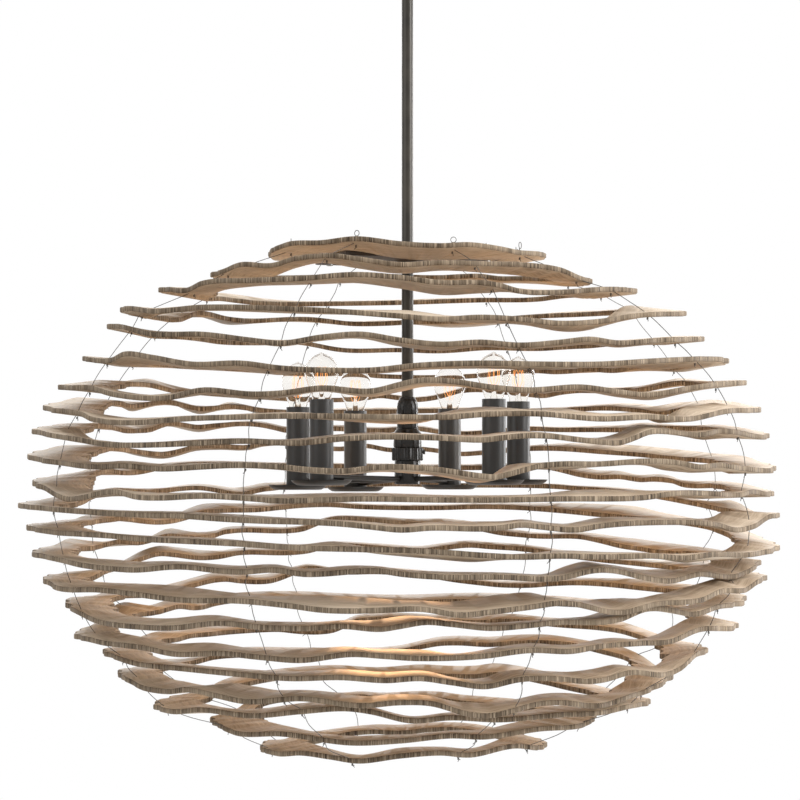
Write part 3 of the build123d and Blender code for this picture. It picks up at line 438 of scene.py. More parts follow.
def lathe(profile, sides, closed, centre=(0, 0, 0), waves=None):
    """Vertices and faces of an outline of (radius, height) turned round Z."""
    verts = []
    faces = []
    rows = len(profile)
    for n in range(sides):
        angle = 2 * math.pi * n / sides
        for radius, height in profile:
            reach = radius + (waves(angle, radius, height) if waves else 0)
            verts.append(around(reach, angle, height) + Vector(centre))
    for n in range(sides):
        m = (n + 1) % sides
        for k in range(rows if closed else rows - 1):
            j = (k + 1) % rows
            if profile[k][0] == 0 and profile[j][0] == 0:
                continue
            faces.append((n * rows + k, m * rows + k, m * rows + j, n * rows + j))
    return verts, faces


def turned(name, profile, body, material, sides=64, closed=True, places=((0, 0, 0),),
           corner=0.5, waves=None):
    """One turned piece, or the same one at several places."""
    verts = []
    faces = []
    outline = rounded(profile, corner, closed) if corner else profile
    for place in places:
        v, f = lathe(outline, sides, closed, place, waves)
        faces += [tuple(i + len(verts) for i in face) for face in f]
        verts += v
    piece = new_object(name, verts, faces, body, [material])
    merge(piece)
    return piece


def merge(piece):
    """Joins the vertices that meet at a tip and turns all faces outwards."""
    work = bmesh.new()
    work.from_mesh(piece.data)
    bmesh.ops.remove_doubles(work, verts=work.verts, dist=0.00001)
    bmesh.ops.recalc_face_normals(work, faces=work.faces)
    work.to_mesh(piece.data)
    work.free()
    piece.data.set_sharp_from_angle(angle=math.radians(35))


def tube_mesh(points, radius, sides):
    """Vertices and faces of a round tube along points."""
    verts = []
    faces = []
    count = len(points)
    up = Vector((0, 0, 1))
    side = None
    for n in range(count):
        before = points[max(n - 1, 0)]
        after = points[min(n + 1, count - 1)]
        ahead = (after - before).normalized()
        if side is None:
            side = ahead.cross(up)
            if side.length < 0.1:
                side = ahead.cross(Vector((1, 0, 0)))
        side = (side - ahead * side.dot(ahead)).normalized()
        other = ahead.cross(side)
        for k in range(sides):
            turn = 2 * math.pi * k / sides
            verts.append(points[n] + (side * math.cos(turn) + other * math.sin(turn)) * radius)
    for n in range(count - 1):
        m = n + 1
        for k in range(sides):
            j = (k + 1) % sides
            faces.append((n * sides + k, n * sides + j, m * sides + j, m * sides + k))
    faces.append(tuple(range(sides))[::-1])
    faces.append(tuple((count - 1) * sides + k for k in range(sides)))
    return verts, faces


def spline_points(points, per_span):
    """Points of a smooth line through the given points."""
    result = []
    count = len(points)
    for n in range(count - 1):
        p0 = points[max(n - 1, 0)]
        p1 = points[n]
        p2 = points[n + 1]
        p3 = points[min(n + 2, count - 1)]
        for k in range(per_span):
            t = k / per_span
            result.append(0.5 * (
                2 * p1 + (p2 - p0) * t + (2 * p0 - 5 * p1 + 4 * p2 - p3) * t * t
                + (3 * p1 - p0 - 3 * p2 + p3) * t ** 3
            ))
    result.append(points[-1].copy())
    return result


def tubes(name, lines, radius, body, material, sides):
    """One piece of several round tubes."""
    verts = []
    faces = []
    for line in lines:
        v, f = tube_mesh(line, radius, sides)
        faces += [tuple(i + len(verts) for i in face) for face in f]
        verts += v
    return new_object(name, verts, faces, body, [material], sharp=60)


# ---------------------------------------------------------------- materials

class Shader:
    """A node material: mixes of procedural textures into one Principled shader."""

    def __init__(self, name):
        self.material = bpy.data.materials.new(name)
        self.material.use_nodes = True
        self.tree = self.material.node_tree
        self.main = self.tree.nodes["Principled BSDF"]
        self.object = self.tree.nodes.new("ShaderNodeTexCoord").outputs["Object"]

    def link(self, source, target):
        self.tree.links.new(source, target)

    def scaled(self, scale):
        node = self.tree.nodes.new("ShaderNodeMapping")
        node.inputs["Scale"].default_value = scale
        self.link(self.object, node.inputs["Vector"])
        return node.outputs["Vector"]

    def noise(self, vector, detail=4.0, rough=0.55, distortion=0.0):
        node = self.tree.nodes.new("ShaderNodeTexNoise")
        node.inputs["Scale"].default_value = 1.0
        node.inputs["Detail"].default_value = detail
        node.inputs["Roughness"].default_value = rough
        node.inputs["Distortion"].default_value = distortion
        self.link(vector, node.inputs["Vector"])
        return node.outputs["Fac"]

    def ramp(self, value, stops):
        node = self.tree.nodes.new("ShaderNodeValToRGB")
        elements = node.color_ramp.elements
        while len(elements) < len(stops):
            elements.new(0.5)
        for element, (place, colour) in zip(elements, stops):
            element.position = place
            element.color = (*colour, 1.0)
        self.link(value, node.inputs["Fac"])
        return node.outputs["Color"]

    def range(self, value, low, high, start=0.3, end=0.7):
        node = self.tree.nodes.new("ShaderNodeMapRange")
        node.inputs["From Min"].default_value = start
        node.inputs["From Max"].default_value = end
        node.inputs["To Min"].default_value = low
        node.inputs["To Max"].default_value = high
        self.link(value, node.inputs["Value"])
        return node.outputs["Result"]

    def mix(self, factor, first, second):
        node = self.tree.nodes.new("ShaderNodeMix")
        node.data_type = "RGBA"
        for socket, source in (("Factor", factor), ("A", first), ("B", second)):
            target = [s for s in node.inputs if s.name == socket and s.enabled][0]
            if isinstance(source, tuple):
                target.default_value = source
            else:
                self.link(source, target)
        return [s for s in node.outputs if s.enabled][0]

    def math(self, operation, first, second=None):
        node = self.tree.nodes.new("ShaderNodeMath")
        node.operation = operation
        for socket, source in zip(node.inputs, (first, second)):
            if source is None:
                continue
            if isinstance(source, (int, float)):
                socket.default_value = source
            else:
                self.link(source, socket)
        return node.outputs["Value"]

    def bump(self, height, strength, distance):
        node = self.tree.nodes.new("ShaderNodeBump")
        node.inputs["Strength"].default_value = strength
        node.inputs["Distance"].default_value = distance
        self.link(height, node.inputs["Height"])
        self.link(node.outputs["Normal"], self.main.inputs["Normal"])

    def polar(self, turns, radial, rise):
        """Coordinates whose grain runs round the stem's axis."""
        split = self.tree.nodes.new("ShaderNodeSeparateXYZ")
        self.link(self.object, split.inputs[0])
        x, y, z = split.outputs
        reach = self.math("SQRT", self.math("ADD", self.math("MULTIPLY", x, x),
                                            self.math("MULTIPLY", y, y)))
        join = self.tree.nodes.new("ShaderNodeCombineXYZ")
        self.link(self.math("MULTIPLY", self.math("DIVIDE", x, reach), turns), join.inputs[0])
        self.link(self.math("MULTIPLY", self.math("DIVIDE", y, reach), turns), join.inputs[1])
        self.link(self.math("ADD", self.math("MULTIPLY", reach, radial),
                            self.math("MULTIPLY", z, rise)), join.inputs[2])
        return join.outputs[0]


def board_face():
    """Limed board: streaks along the ring, whitish liming in the open grain."""
    s = Shader("board_face")
    grain = s.noise(s.polar(5.0, 260.0, 40.0), detail=6, rough=0.65, distortion=0.4)
    pores = s.noise(s.polar(40.0, 1400.0, 90.0), detail=3, rough=0.6)
    patch = s.noise(s.scaled((7, 7, 7)), detail=3)
    tone = s.ramp(grain, ((0.28, (0.21, 0.148, 0.092)), (0.48, (0.38, 0.285, 0.195)),
                          (0.62, (0.50, 0.395, 0.285)), (0.78, (0.63, 0.52, 0.40))))
    limed = s.mix(s.range(patch, 0.0, 0.4, 0.35, 0.7), tone, (0.56, 0.475, 0.375, 1))
    worn = s.mix(s.range(pores, 0.0, 0.5, 0.52, 0.75), limed, (0.18, 0.13, 0.085, 1))
    s.link(worn, s.main.inputs["Base Color"])
    s.link(s.range(grain, 0.48, 0.7), s.main.inputs["Roughness"])
    s.main.inputs["Specular IOR Level"].default_value = 0.45
    s.bump(s.math("ADD", grain, s.math("MULTIPLY", pores, 0.5)), 0.35, 0.0006)
    return s.material


def board_edge():
    """Sawn edge: fine upright saw marks, dark and pale by turns."""
    s = Shader("board_edge")
    marks = s.noise(s.scaled((540, 540, 18)), detail=2, rough=0.7)
    bands = s.noise(s.scaled((150, 150, 30)), detail=3)
    ply = s.noise(s.scaled((9, 9, 620)), detail=2)
    patch = s.noise(s.scaled((14, 14, 14)), detail=3)
    tone = s.ramp(marks, ((0.34, (0.040, 0.029, 0.020)), (0.46, (0.118, 0.087, 0.058)),
                          (0.56, (0.225, 0.171, 0.118)), (0.68, (0.39, 0.31, 0.225))))
    tone = s.mix(s.range(bands, 0.0, 0.55, 0.45, 0.75), tone, (0.115, 0.082, 0.053, 1))
    tone = s.mix(s.range(ply, 0.0, 0.35, 0.55, 0.8), tone, (0.10, 0.073, 0.049, 1))
    tone = s.mix(s.range(patch, 0.0, 0.45, 0.45, 0.75), tone, (0.33, 0.258, 0.18, 1))
    s.link(tone, s.main.inputs["Base Color"])
    s.link(s.range(marks, 0.7, 0.92), s.main.inputs["Roughness"])
    s.main.inputs["Specular IOR Level"].default_value = 0.2
    s.bump(marks, 0.6, 0.0007)
    return s.material


def dark_wood():
    """Very dark board with a straight grain."""
    s = Shader("dark_wood")
    grain = s.noise(s.scaled((18, 260, 260)), detail=6, rough=0.6, distortion=0.5)
    patch = s.noise(s.scaled((12, 12, 12)))
    tone = s.ramp(grain, ((0.3, (0.014, 0.009, 0.006)), (0.5, (0.030, 0.020, 0.013)),
                          (0.7, (0.058, 0.040, 0.026))))
    tone = s.mix(s.range(patch, 0.0, 0.4), tone, (0.06, 0.045, 0.034, 1))
    s.link(tone, s.main.inputs["Base Color"])
    s.link(s.range(grain, 0.45, 0.7), s.main.inputs["Roughness"])
    s.bump(grain, 0.3, 0.0005)
    return s.material


def coated(name, dark, light, rough, metallic=0.0, fine=900.0, bump=0.12, specular=0.5):
    """Painted, plated or plain metal with mottling, a fine texture and uneven gloss."""
    s = Shader(name)
    mottle = s.noise(s.scaled((26, 26, 26)), detail=5)
    speck = s.noise(s.scaled((fine, fine, fine)), detail=2)
    tone = s.ramp(s.math("ADD", s.math("MULTIPLY", mottle, 0.75), s.math("MULTIPLY", speck, 0.25)),
                  ((0.36, dark), (0.64, light)))
    s.link(tone, s.main.inputs["Base Color"])
    s.link(s.range(mottle, rough[0], rough[1]), s.main.inputs["Roughness"])
    s.main.inputs["Metallic"].default_value = metallic
    s.main.inputs["Specular IOR Level"].default_value = specular
    s.bump(speck, bump, 0.0002)
    return s.material


def clear_glass():
    """Thin bulb glass with a faint warm film; a low index keeps what is behind it in place."""
    s = Shader("clear_glass")
    film = s.noise(s.scaled((40, 40, 25)), detail=4)
    s.link(s.ramp(film, ((0.3, (0.965, 0.95, 0.925)), (0.7, (0.99, 0.98, 0.965)))),
           s.main.inputs["Base Color"])
    s.link(s.range(film, 0.0, 0.05), s.main.inputs["Roughness"])
    s.main.inputs["Transmission Weight"].default_value = 1.0
    s.main.inputs["IOR"].default_value = 1.03
    s.main.inputs["Coat Weight"].default_value = 0.3
    s.main.inputs["Coat IOR"].default_value = 1.45
    s.main.inputs["Coat Roughness"].default_value = 0.03
    return s.material


def glowing_filament():
    """Carbon thread that glows unevenly."""
    s = Shader("glowing_filament")
    heat = s.noise(s.scaled((160, 160, 160)), detail=3)
    glow = s.ramp(heat, ((0.3, (0.95, 0.26, 0.05)), (0.7, (1.0, 0.52, 0.16))))
    s.link(glow, s.main.inputs["Base Color"])
    s.link(glow, s.main.inputs["Emission Color"])
    s.main.inputs["Emission Strength"].default_value = 1.6
    s.main.inputs["Roughness"].default_value = 0.6
    return s.material


FACE = board_face()
EDGE = board_edge()
DARK_WOOD = dark_wood()
BRONZE = coated("dark_bronze", (0.018, 0.015, 0.011), (0.040, 0.034, 0.025), (0.30, 0.44), 0.35)
DARK_METAL = coated("satin_black", (0.011, 0.010, 0.009), (0.026, 0.024, 0.021), (0.3, 0.45), 0.3)
CHARCOAL = coated("charcoal_sleeve", (0.018, 0.017, 0.016), (0.030, 0.029, 0.027), (0.34, 0.48))
GLOSS = coated("gloss_black", (0.005, 0.0045, 0.004), (0.012, 0.010, 0.008), (0.12, 0.22),
               fine=500, specular=0.4)
STEEL = coated("plated_steel", (0.38, 0.38, 0.37), (0.60, 0.60, 0.59), (0.25, 0.42), 1.0)
WIRE = coated("wire_steel", (0.050, 0.046, 0.042), (0.13, 0.12, 0.11), (0.4, 0.6), 0.6)
BRASS = coated("brass", (0.42, 0.31, 0.14), (0.62, 0.48, 0.24), (0.25, 0.4), 1.0)
NYLON = coated("nylon", (0.55, 0.54, 0.50), (0.70, 0.69, 0.65), (0.45, 0.6))
GLASS = clear_glass()
FILAMENT = glowing_filament()


# ---------------------------------------------------------------- board rings

def ring_mean(index):
    """Radius of the orb at a board's level."""
    return ORB_RADIUS * math.sqrt(1 - (RINGS[index][0] / ORB_HALF_HEIGHT) ** 2)


def calm(index):
    """How strongly a board waves: less on small boards, least on the top one."""
    return min(1.0, ring_mean(index) / CALM_RADIUS) if index else TOP_CALM


def ring_phase(index):
    return math.radians(RING_TURN * index)


def lugs(index, angle, shift=0.0):
    """Short steps of the hand-sawn outline, a few centimetres long."""
    wave = math.sin(31 * angle + 2.3 * index + shift) + 0.8 * math.sin(47 * angle + 5.1 * index)
    wave += 0.7 * math.sin(19 * angle - 3.7 * index + shift)
    return LUG * math.tanh(1.6 * wave)


def ring_outer(index, angle):
    """Outer radius: the photograph's two reaches, joined by the sawn wave."""
    left, right = RINGS[index][1:3]
    quiet = calm(index)
    phase = ring_phase(index)

    def wave(a):
        low = EDGE_WAVE * quiet * (math.sin(5 * a + phase) + 0.5 * math.sin(3 * a - 2 * phase))
        return low + lugs(index, a) * quiet

    share = (1 + math.sin(angle)) / 2
    bulge = 1.0 / math.sqrt(1 - (ring_mean(index) / PIXEL / VIEW_PIXELS) ** 2)
    reach_left = (AXIS_X - left) * PIXEL / bulge
    reach_right = (right - AXIS_X) * PIXEL / bulge
    reach = reach_left * (1 - share) + reach_right * share
    ends = wave(-math.pi / 2) * (1 - share) + wave(math.pi / 2) * share
    return reach + wave(angle) - ends


def ring_width(index, angle):
    """Width of the board: a wave, led to the photograph's widths at the two ends."""
    quiet = calm(index)
    width = BAND if index else TOP_BAND
    width += BAND_WAVE * quiet * math.sin(4 * angle + 3 * ring_phase(index))
    left, right = RINGS[index][3:5]
    for side, end in ((-1, left), (1, right)):
        near = smooth_step(1 - abs(angle - side * math.pi / 2) / math.radians(END_SPREAD))
        width += near * (end * PIXEL - width)
    return width - lugs(index, angle, 1.9) * quiet


def seen(angle, radius):
    """Photograph column of a point of a ring, and how much nearer than the axis it is."""
    reach = radius / PIXEL
    near = VIEW_PIXELS / (VIEW_PIXELS - reach * math.cos(angle))
    return AXIS_X + near * reach * math.sin(angle), near


def height_at(row, near):
    """Height of a point seen in a row of the photograph, that much nearer than the axis."""
    return (EYE_Y - row) * PIXEL / near - DROP


def ring_heights(index, angle, outer, inner):
    """Height of the outer and of the inner edge."""
    back = smooth_step((abs(angle) - math.radians(BACK_STARTS)) / math.radians(BACK_BLEND))
    column, near = seen(angle, outer)
    front_row = along_line(FRONTS[index], column)
    back_row = along_line(BACKS[index], column) - along_line(BACK_FACES[index], column)
    high = height_at(front_row * (1 - back) + back_row * back, near)
    column, near = seen(angle, inner)
    front_row = along_line(FRONTS[index], column) - along_line(FRONT_FACES[index], column)
    back_row = along_line(BACKS[index], column)
    return high, height_at(front_row * (1 - back) + back_row * back, near)


def ring_corners(index, angle):
    """Middle of the outer and of the inner sawn edge at an azimuth."""
    angle = (angle + math.pi) % (2 * math.pi) - math.pi
    outer = ring_outer(index, angle)
    inner = outer - ring_width(index, angle)
    high, low = ring_heights(index, angle, outer, inner)
    return around(outer, angle, high), around(inner, angle, low)


def saw_mark(index, n):
    """How far section n of a board's sawn edge stands in or out."""
    return 0.25 * math.sin(n * 2.4) + 0.2 * math.sin(n * 5.1 + index)


def ring_piece(index):
    """One board: flat faces, sawn edges, corners worn round."""
    verts = []
    faces = []
    kinds = []
    half = BOARD / 2
    up = Vector((0, 0, 1))
    soft = up * WORN_EDGE
    for n in range(STEPS):
        outer, inner = ring_corners(index, 2 * math.pi * n / STEPS)
        inward = (inner - outer).normalized()
        edge = inward * WORN_EDGE
        saw = inward * saw_mark(index, n)
        verts += [
            outer + up * half + edge,
            outer + saw + up * half - soft,
            outer + saw - up * half + soft,
            outer - up * half + edge,
            inner - up * half - edge,
            inner + saw - up * half + soft,
            inner + saw + up * half - soft,
            inner + up * half - edge,
        ]
    # Strip between corner k and the next one: edge material on the two sawn sides.
    strip_kinds = (1, 1, 1, 0, 1, 1, 1, 0)
    rows = len(strip_kinds)
    for n in range(STEPS):
        m = (n + 1) % STEPS
        for k in range(rows):
            j = (k + 1) % rows
            faces.append((n * rows + k, n * rows + j, m * rows + j, m * rows + k))
            kinds.append(strip_kinds[k])
    name = f"board_{index + 1:02d}"
    piece = new_object(name, verts, faces, "chandelier", [FACE, EDGE], kinds, 50)
    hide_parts(f"ring_board_{index + 1:02d}")


for index in range(len(RINGS)):
    ring_piece(index)


# ---------------------------------------------------------------- hanger wires

def wire_place(index, wire):
    """Where a wire goes through a board: on a smooth line inside the orb, never off the board."""
    angle = math.radians(wire)
    outer, inner = ring_corners(index, angle)
    reach = Vector(outer[:2]).length
    depth = reach - Vector(inner[:2]).length
    wanted = reach - ring_mean(index) + WIRE_INSET
    share = min(max(wanted, WIRE_MARGIN), depth - WIRE_MARGIN) / depth
    return outer.lerp(inner, share)


def wire_sides(wire):
    """Level directions along and away from the orb at a wire's azimuth."""
    angle = math.radians(wire)
    return around(1, angle + math.pi / 2, 0), around(1, angle, 0)


def wire_line(wire):
    """A wire that bows from board to board, with a twisted loop above the top board."""
    across, outward = wire_sides(wire)
    up = Vector((0, 0, 1))
    places = [wire_place(index, wire) for index in range(len(RINGS))]
    turn = random.uniform(-0.5, 0.5)
    tilt = across * math.cos(turn) + outward * math.sin(turn)
    top = places[0]
    loop = []
    centre = top + up * random.uniform(11.0, 14.0) + tilt * 1.5
    size = random.uniform(3.6, 4.8)
    for k in range(9):
        a = math.radians(-120 + 40 * k)
        loop.append(centre + tilt * size * math.sin(a) + up * size * math.cos(a))
    tail = [top + up * 7 - tilt * 1.2, top + up * 4.5 - tilt * 4.0, top + up * 6.5 - tilt * 9.0]
    points = tail[::-1] + loop[::-1] + [top + up * 6.5]
    for n, place in enumerate(places):
        points.append(place)
        if n + 1 < len(places):
            middle = (place + places[n + 1]) / 2
            room = (place - places[n + 1]).length
            slack = 0.03 + 0.11 * n / len(RINGS)
            bow = across * random.uniform(-slack, slack) + outward * random.uniform(0, slack)
            points.append(middle + bow * room)
    points.append(places[-1] - up * 6.0)
    points.append(places[-1] - up * 7.5 + across * 3.0)
    return spline_points(points, 4)


def knot_line(place, wire):
    """Two tight turns round the wire under a board."""
    across, outward = wire_sides(wire)
    start = random.uniform(0, 6)
    points = []
    for k in range(21):
        a = start + 2 * math.pi * k / 9
        rise = Vector((0, 0, -BOARD / 2 - 0.8 - 0.16 * k))
        points.append(place + rise + (across * math.cos(a) + outward * math.sin(a)) * KNOT_RADIUS)
    end = points[-1] + across * random.uniform(-4, 4) - Vector((0, 0, 2.5))
    return points + [end]


WIRE_LINES = [wire_line(wire) for wire in WIRES]
wires = tubes("hanger_wires_bowed", WIRE_LINES, WIRE_RADIUS, "chandelier", WIRE, 6)
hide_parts("hanger_wires")
knots = []
for wire in WIRES:
    for index in range(len(RINGS)):
        knots.append(knot_line(wire_place(index, wire), wire))
tubes("wire_knots", knots, KNOT_WIRE, "chandelier", WIRE, 5)


# ---------------------------------------------------------------- stem and ceiling end

stem_low, stem_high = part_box("stem")
STEM_LOW = stem_low[2] / MM
STEM_HIGH = stem_high[2] / MM
stem = turned("stem_tube", [(5.6, STEM_LOW), (8, STEM_LOW), (8, STEM_HIGH), (5.6, STEM_HIGH)],
              "chandelier", BRONZE, corner=0.6)
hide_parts("stem")

collar_low, collar_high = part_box("stem_collar")
COLLAR_LOW = collar_low[2] / MM
COLLAR_HIGH = collar_high[2] / MM
collar = turned("collar_ring", [
    (8.3, COLLAR_LOW), (13.6, COLLAR_LOW), (15, COLLAR_LOW + 1.4), (15, COLLAR_HIGH),
    (8.3, COLLAR_HIGH),
], "chandelier", BRONZE)
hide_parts("stem_collar")

canopy_profile = [
    (65, 0), (65, -8), (62.6, -15), (57, -22), (49, -27.2), (44, -28), (24, -28), (24, -26.5),
    (43.6, -26.5), (48.4, -25.8), (56, -20.8), (61.2, -14.4), (63.5, -8), (63.5, 0),
]
canopy = turned("canopy_pan", canopy_profile, "ceiling_mount", BRONZE, 96, corner=2.0)
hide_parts("canopy")


# ---------------------------------------------------------------- light cluster

def lift(height):
    """Height above the orb's middle, as a height below the ceiling."""
    return height - DROP


hub_parts = {
    "hub_bell_cap": [(8.4, 117.8), (14.5, 117.8), (14.5, 128), (14.1, 131.5), (12.8, 135.5),
                     (11.2, 138.5), (10.4, 141), (8.4, 141)],
    "hub_neck": [(8.4, 98.3), (14.5, 98.3), (14.5, 117.5), (8.4, 117.5)],
    "hub_body": [(14.5, 98), (5.6, 98), (5.6, 95.8), (13.4, 95.8), (17, 90), (17, 71.8),
                 (19.2, 71.8), (19.2, 90.6), (18.6, 91.6), (15.2, 96.6)],
    "hub_lower_shell": [(15.6, 21.5), (17.8, 21.5), (17.8, 53.5), (15.6, 53.5)],
    "hub_bottom_cover": [(0, 21.5), (15.0, 21.5), (15.0, 24), (0, 24)],
}
for node, outline in hub_parts.items():
    closed = outline[0][0] > 0
    piece = turned(node + "_smooth", [(r, lift(z)) for r, z in outline], "chandelier",
                   GLOSS, 64, closed=closed, corner=0.7)
    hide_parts(node)


RIBS = 36
RIB_DEPTH = 0.35


def ribs(angle, radius, height):
    """The ribs stand on the outside only."""
    return RIB_DEPTH * math.cos(RIBS * angle) if radius >= 20 else 0.0


ribbed = turned("hub_ribbed_ring_smooth",
                [(r, lift(z)) for r, z in ((17, 53.8), (19.8, 53.8), (21, 55.2), (21, 70.6),
                                           (20.2, 71.5), (17, 71.5))],
                "chandelier", GLOSS, 144, corner=0.4, waves=ribs)
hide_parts("hub_ribbed_ring")


PLACES = [tuple(around(CLUSTER, math.radians(a), -DROP - droop)) for a, droop in ARMS]

dishes = turned("drip_dishes_smooth", [
    (0, 17.5), (29, 17.5), (33, 18.0), (37.5, 20.6), (40.0, 23.4), (40.5, 24.3), (39.6, 24.3),
    (36.6, 21.9), (32.6, 19.4), (29, 18.9), (0, 18.9),
], "chandelier", DARK_METAL, 72, closed=False, places=PLACES, corner=0.4)
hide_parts("drip_dishes")

sleeves = turned("candle_sleeves_smooth", [
    (14.9, 19.2), (16, 19.2), (16, 132), (14.9, 132),
], "chandelier", CHARCOAL, 56, places=PLACES, corner=0.3)
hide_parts("candle_sleeves")

GLASS_LOW = 129.3          # bottom of the bulb glass above an arm's middle
GLASS_WALL = 0.8
GLASS_BELLY = 8            # last point of the outline before the glass also gets lower inside
GLASS_TIP_INSIDE = 63.0
glass_outer = [
    (12.2, 0), (12.4, 3), (13.6, 9), (16.4, 17), (19.6, 24.5), (21.9, 31), (22.8, 37.5),
    (22.5, 43), (21.0, 48.6), (18.0, 54.2), (13.4, 59), (8.4, 61.9), (4.4, 63.2), (2.6, 64.2),
    (1.7, 65.4), (0, 66.0),
]
glass_inner = [(max(0.0, r - GLASS_WALL), z - GLASS_WALL if n > GLASS_BELLY else z)
               for n, (r, z) in enumerate(glass_outer)]
glass_profile = [(r, z + GLASS_LOW) for r, z in glass_outer]
glass_profile += [(r, z + GLASS_LOW) for r, z in glass_inner[::-1]]
glass_profile[len(glass_outer)] = (0, GLASS_LOW + GLASS_TIP_INSIDE)
glasses = turned("bulb_glasses_smooth", glass_profile, "chandelier", GLASS, 48,
                 places=PLACES, corner=0)
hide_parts("bulb_glasses")

stem_profile = [(0, 129.4), (5.4, 129.4), (4.8, 133), (3.2, 139), (2.4, 146), (1.7, 150.4), (0, 151.4)]
bulb_stems = turned("bulb_stems_smooth", stem_profile, "chandelier", GLASS, 24,
                    closed=False, places=PLACES, corner=0.8)
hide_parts("bulb_stems")


def filament_lines(place):
    """Hairpin loops of carbon thread that stand round the glass stem."""
    lines = []
    base = Vector(place)
    for hairpin in range(4):
        a = math.radians(45 + 90 * hairpin)
        b = a + math.radians(38)
        points = [
            around(1.6, a, 150.0), around(4.0, a, 152.5), around(7.6, a, 160.0),
            around(7.0, a, 170.0), around(6.2, (a + b) / 2, 175.5), around(7.0, b, 170.0),
            around(7.8, b, 158.0), around(5.4, b, 149.0), around(3.2, b, 145.0),
        ]
        lines.append(spline_points([base + p for p in points], 5))
    return lines


threads = []
for place in PLACES:
    threads += filament_lines(place)
filaments = tubes("filament_threads", threads, 0.2, "chandelier", FILAMENT, 5)
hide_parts("bulb_filaments")


ARM_LEVEL = 28.8
ARM_RADIUS = 3.5


def arm_line(angle, droop):
    """An arm that leaves the hub level and then runs straight to its candle."""
    inner = around(14.6, angle, lift(ARM_LEVEL))
    bend = around(23.8, angle, lift(ARM_LEVEL))
    end = around(CLUSTER - 12.2, angle, lift(ARM_LEVEL - droop))
    middle = (bend + end) / 2
    return [inner, bend, middle, end]


arms = tubes("arm_rods", [spline_points(arm_line(math.radians(a), d), 4) for a, d in ARMS],
             ARM_RADIUS, "chandelier", DARK_METAL, 20)
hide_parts("lamp_arms")


# ---------------------------------------------------------------- kept CAD pieces

KEPT = {
    "mounting_strap": STEEL, "canopy_screws": STEEL, "canopy_cap_nuts": BRONZE,
    "swivel_seat": BRONZE, "swivel_liner": NYLON, "swivel_ball": BRONZE, "stem_lock_nut": STEEL,
    "collar_screw": STEEL, "carrier_board": DARK_WOOD, "carrier_screws": STEEL,
    "hub_knob": GLOSS, "lampholder_posts": DARK_METAL, "lampholders": BRASS, "bulb_caps": BRASS,
}
for node, material in KEPT.items():
    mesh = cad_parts[node].data
    mesh.materials.clear()
    mesh.materials.append(material)


# ---------------------------------------------------------------- studio

def add_light(data, name, place, target=None):
    """A lamp that the bulbs' glass doesn't show."""
    light = bpy.data.objects.new(name, data)
    light.location = place
    light.visible_transmission = False
    if target:
        light.rotation_mode = "QUATERNION"
        light.rotation_quaternion = (Vector(place) - Vector(target)).to_track_quat("Z", "Y")
    bpy.context.scene.collection.objects.link(light)
    return light


def area_light(name, place, size, power):
    """A soft white lamp turned to the orb's middle."""
    data = bpy.data.lights.new(name, "AREA")
    data.shape = "RECTANGLE"
    data.size, data.size_y = size
    data.energy = power
    add_light(data, name, place, (0, 0, -DROP * MM))


def warm_light(name, place, power, target=None, cone=0.0):
    """A bulb-coloured light inside the orb, as a spot where it has a target."""
    data = bpy.data.lights.new(name, "SPOT" if target else "POINT")
    data.energy = power
    data.color = (1.0, 0.64, 0.33)
    data.shadow_soft_size = 0.012
    if target:
        data.spot_size = math.radians(cone)
        data.spot_blend = 0.9
    add_light(data, name, place, target).visible_glossy = False


def studio_world():
    """Plain soft light; the camera, gloss and glass see plain white."""
    world = bpy.data.worlds.new("studio_world")
    bpy.context.scene.world = world
    world.use_nodes = True
    tree = world.node_tree
    for node in list(tree.nodes):
        tree.nodes.remove(node)
    path = tree.nodes.new("ShaderNodeLightPath")
    white_share = path.outputs["Is Camera Ray"]
    for ray in ("Is Glossy Ray", "Is Transmission Ray"):
        either = tree.nodes.new("ShaderNodeMath")
        either.operation = "MAXIMUM"
        tree.links.new(white_share, either.inputs[0])
        tree.links.new(path.outputs[ray], either.inputs[1])
        white_share = either.outputs[0]
    blend = tree.nodes.new("ShaderNodeMixShader")
    tree.links.new(white_share, blend.inputs[0])
    for socket, colour, strength in ((1, (0.96, 0.98, 1.0, 1), 0.8), (2, (1, 1, 1, 1), 1.0)):
        shade = tree.nodes.new("ShaderNodeBackground")
        shade.inputs["Color"].default_value = colour
        shade.inputs["Strength"].default_value = strength
        tree.links.new(shade.outputs[0], blend.inputs[socket])
    tree.links.new(blend.outputs[0], tree.nodes.new("ShaderNodeOutputWorld").inputs["Surface"])


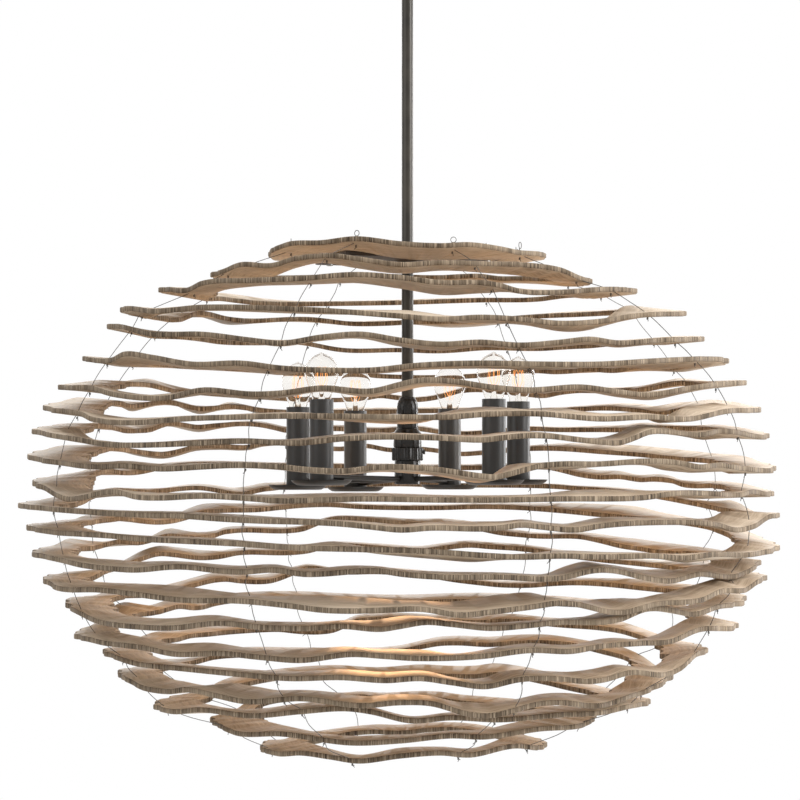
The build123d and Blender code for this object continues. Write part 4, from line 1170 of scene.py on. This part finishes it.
def pale_floor(level, reach):
    corners = [(-reach, -reach, level), (reach, -reach, level), (reach, reach, level),
               (-reach, reach, level)]
    mesh = bpy.data.meshes.new("floor")
    mesh.from_pydata(corners, [], [(0, 1, 2, 3)])
    mesh.materials.append(coated("pale_floor", (0.74, 0.74, 0.73), (0.80, 0.80, 0.79),
                                 (0.7, 0.85), fine=60.0, bump=0.02, specular=0.2))
    floor = bpy.data.objects.new("floor", mesh)
    bpy.context.scene.collection.objects.link(floor)


def photo_camera():
    """A camera at the photograph's eye height and distance, pitched to its frame."""
    middle = PHOTO_SIZE / 2
    data = bpy.data.cameras.new("camera")
    data.sensor_width = 36.0
    data.lens = data.sensor_width * VIEW_PIXELS / PHOTO_SIZE
    data.clip_end = 50
    camera = bpy.data.objects.new("camera", data)
    camera.location = ((middle - AXIS_X) * PIXEL * MM, -VIEW_PIXELS * PIXEL * MM, -DROP * MM)
    pitch = math.atan((EYE_Y - middle) / VIEW_PIXELS)
    camera.rotation_euler = (math.radians(90) + pitch, 0, 0)
    bpy.context.scene.collection.objects.link(camera)
    bpy.context.scene.camera = camera


area_light("key_right", (3.0, -1.2, 0.4), (1.6, 2.4), 110)
area_light("rim_right", (2.6, 1.6, -0.6), (0.8, 2.2), 75)
area_light("fill_left", (-3.0, -2.2, 0.2), (2.0, 2.4), 30)
area_light("top_soft", (0.2, -0.3, 1.9), (2.4, 2.4), 42)
area_light("back_soft", (0.0, 3.2, 0.1), (4.5, 1.6), 70)
ABOVE_BULB = Vector((0, 0, 0.205))       # from an arm's middle to just above the bulb's tip
for number, place in enumerate(PLACES):
    warm_light(f"bulb_light_{number + 1}", Vector(place) * MM + ABOVE_BULB, 0.08)
warm_light("glow_left", (-0.22, 0.10, -0.75), 1.1)
warm_light("glow_right", (0.22, 0.10, -0.75), 1.1)
warm_light("glow_down", (-0.01, -0.01, -0.775), 34.0, (-0.015, -0.41, -0.935), 32)
warm_light("glow_up", (0.02, -0.03, -0.785), 12.0, (0.03, -0.46, -0.69), 34)
studio_world()
pale_floor(-2.45, 5)
photo_camera()
bpy.context.scene.view_settings.view_transform = "Standard"
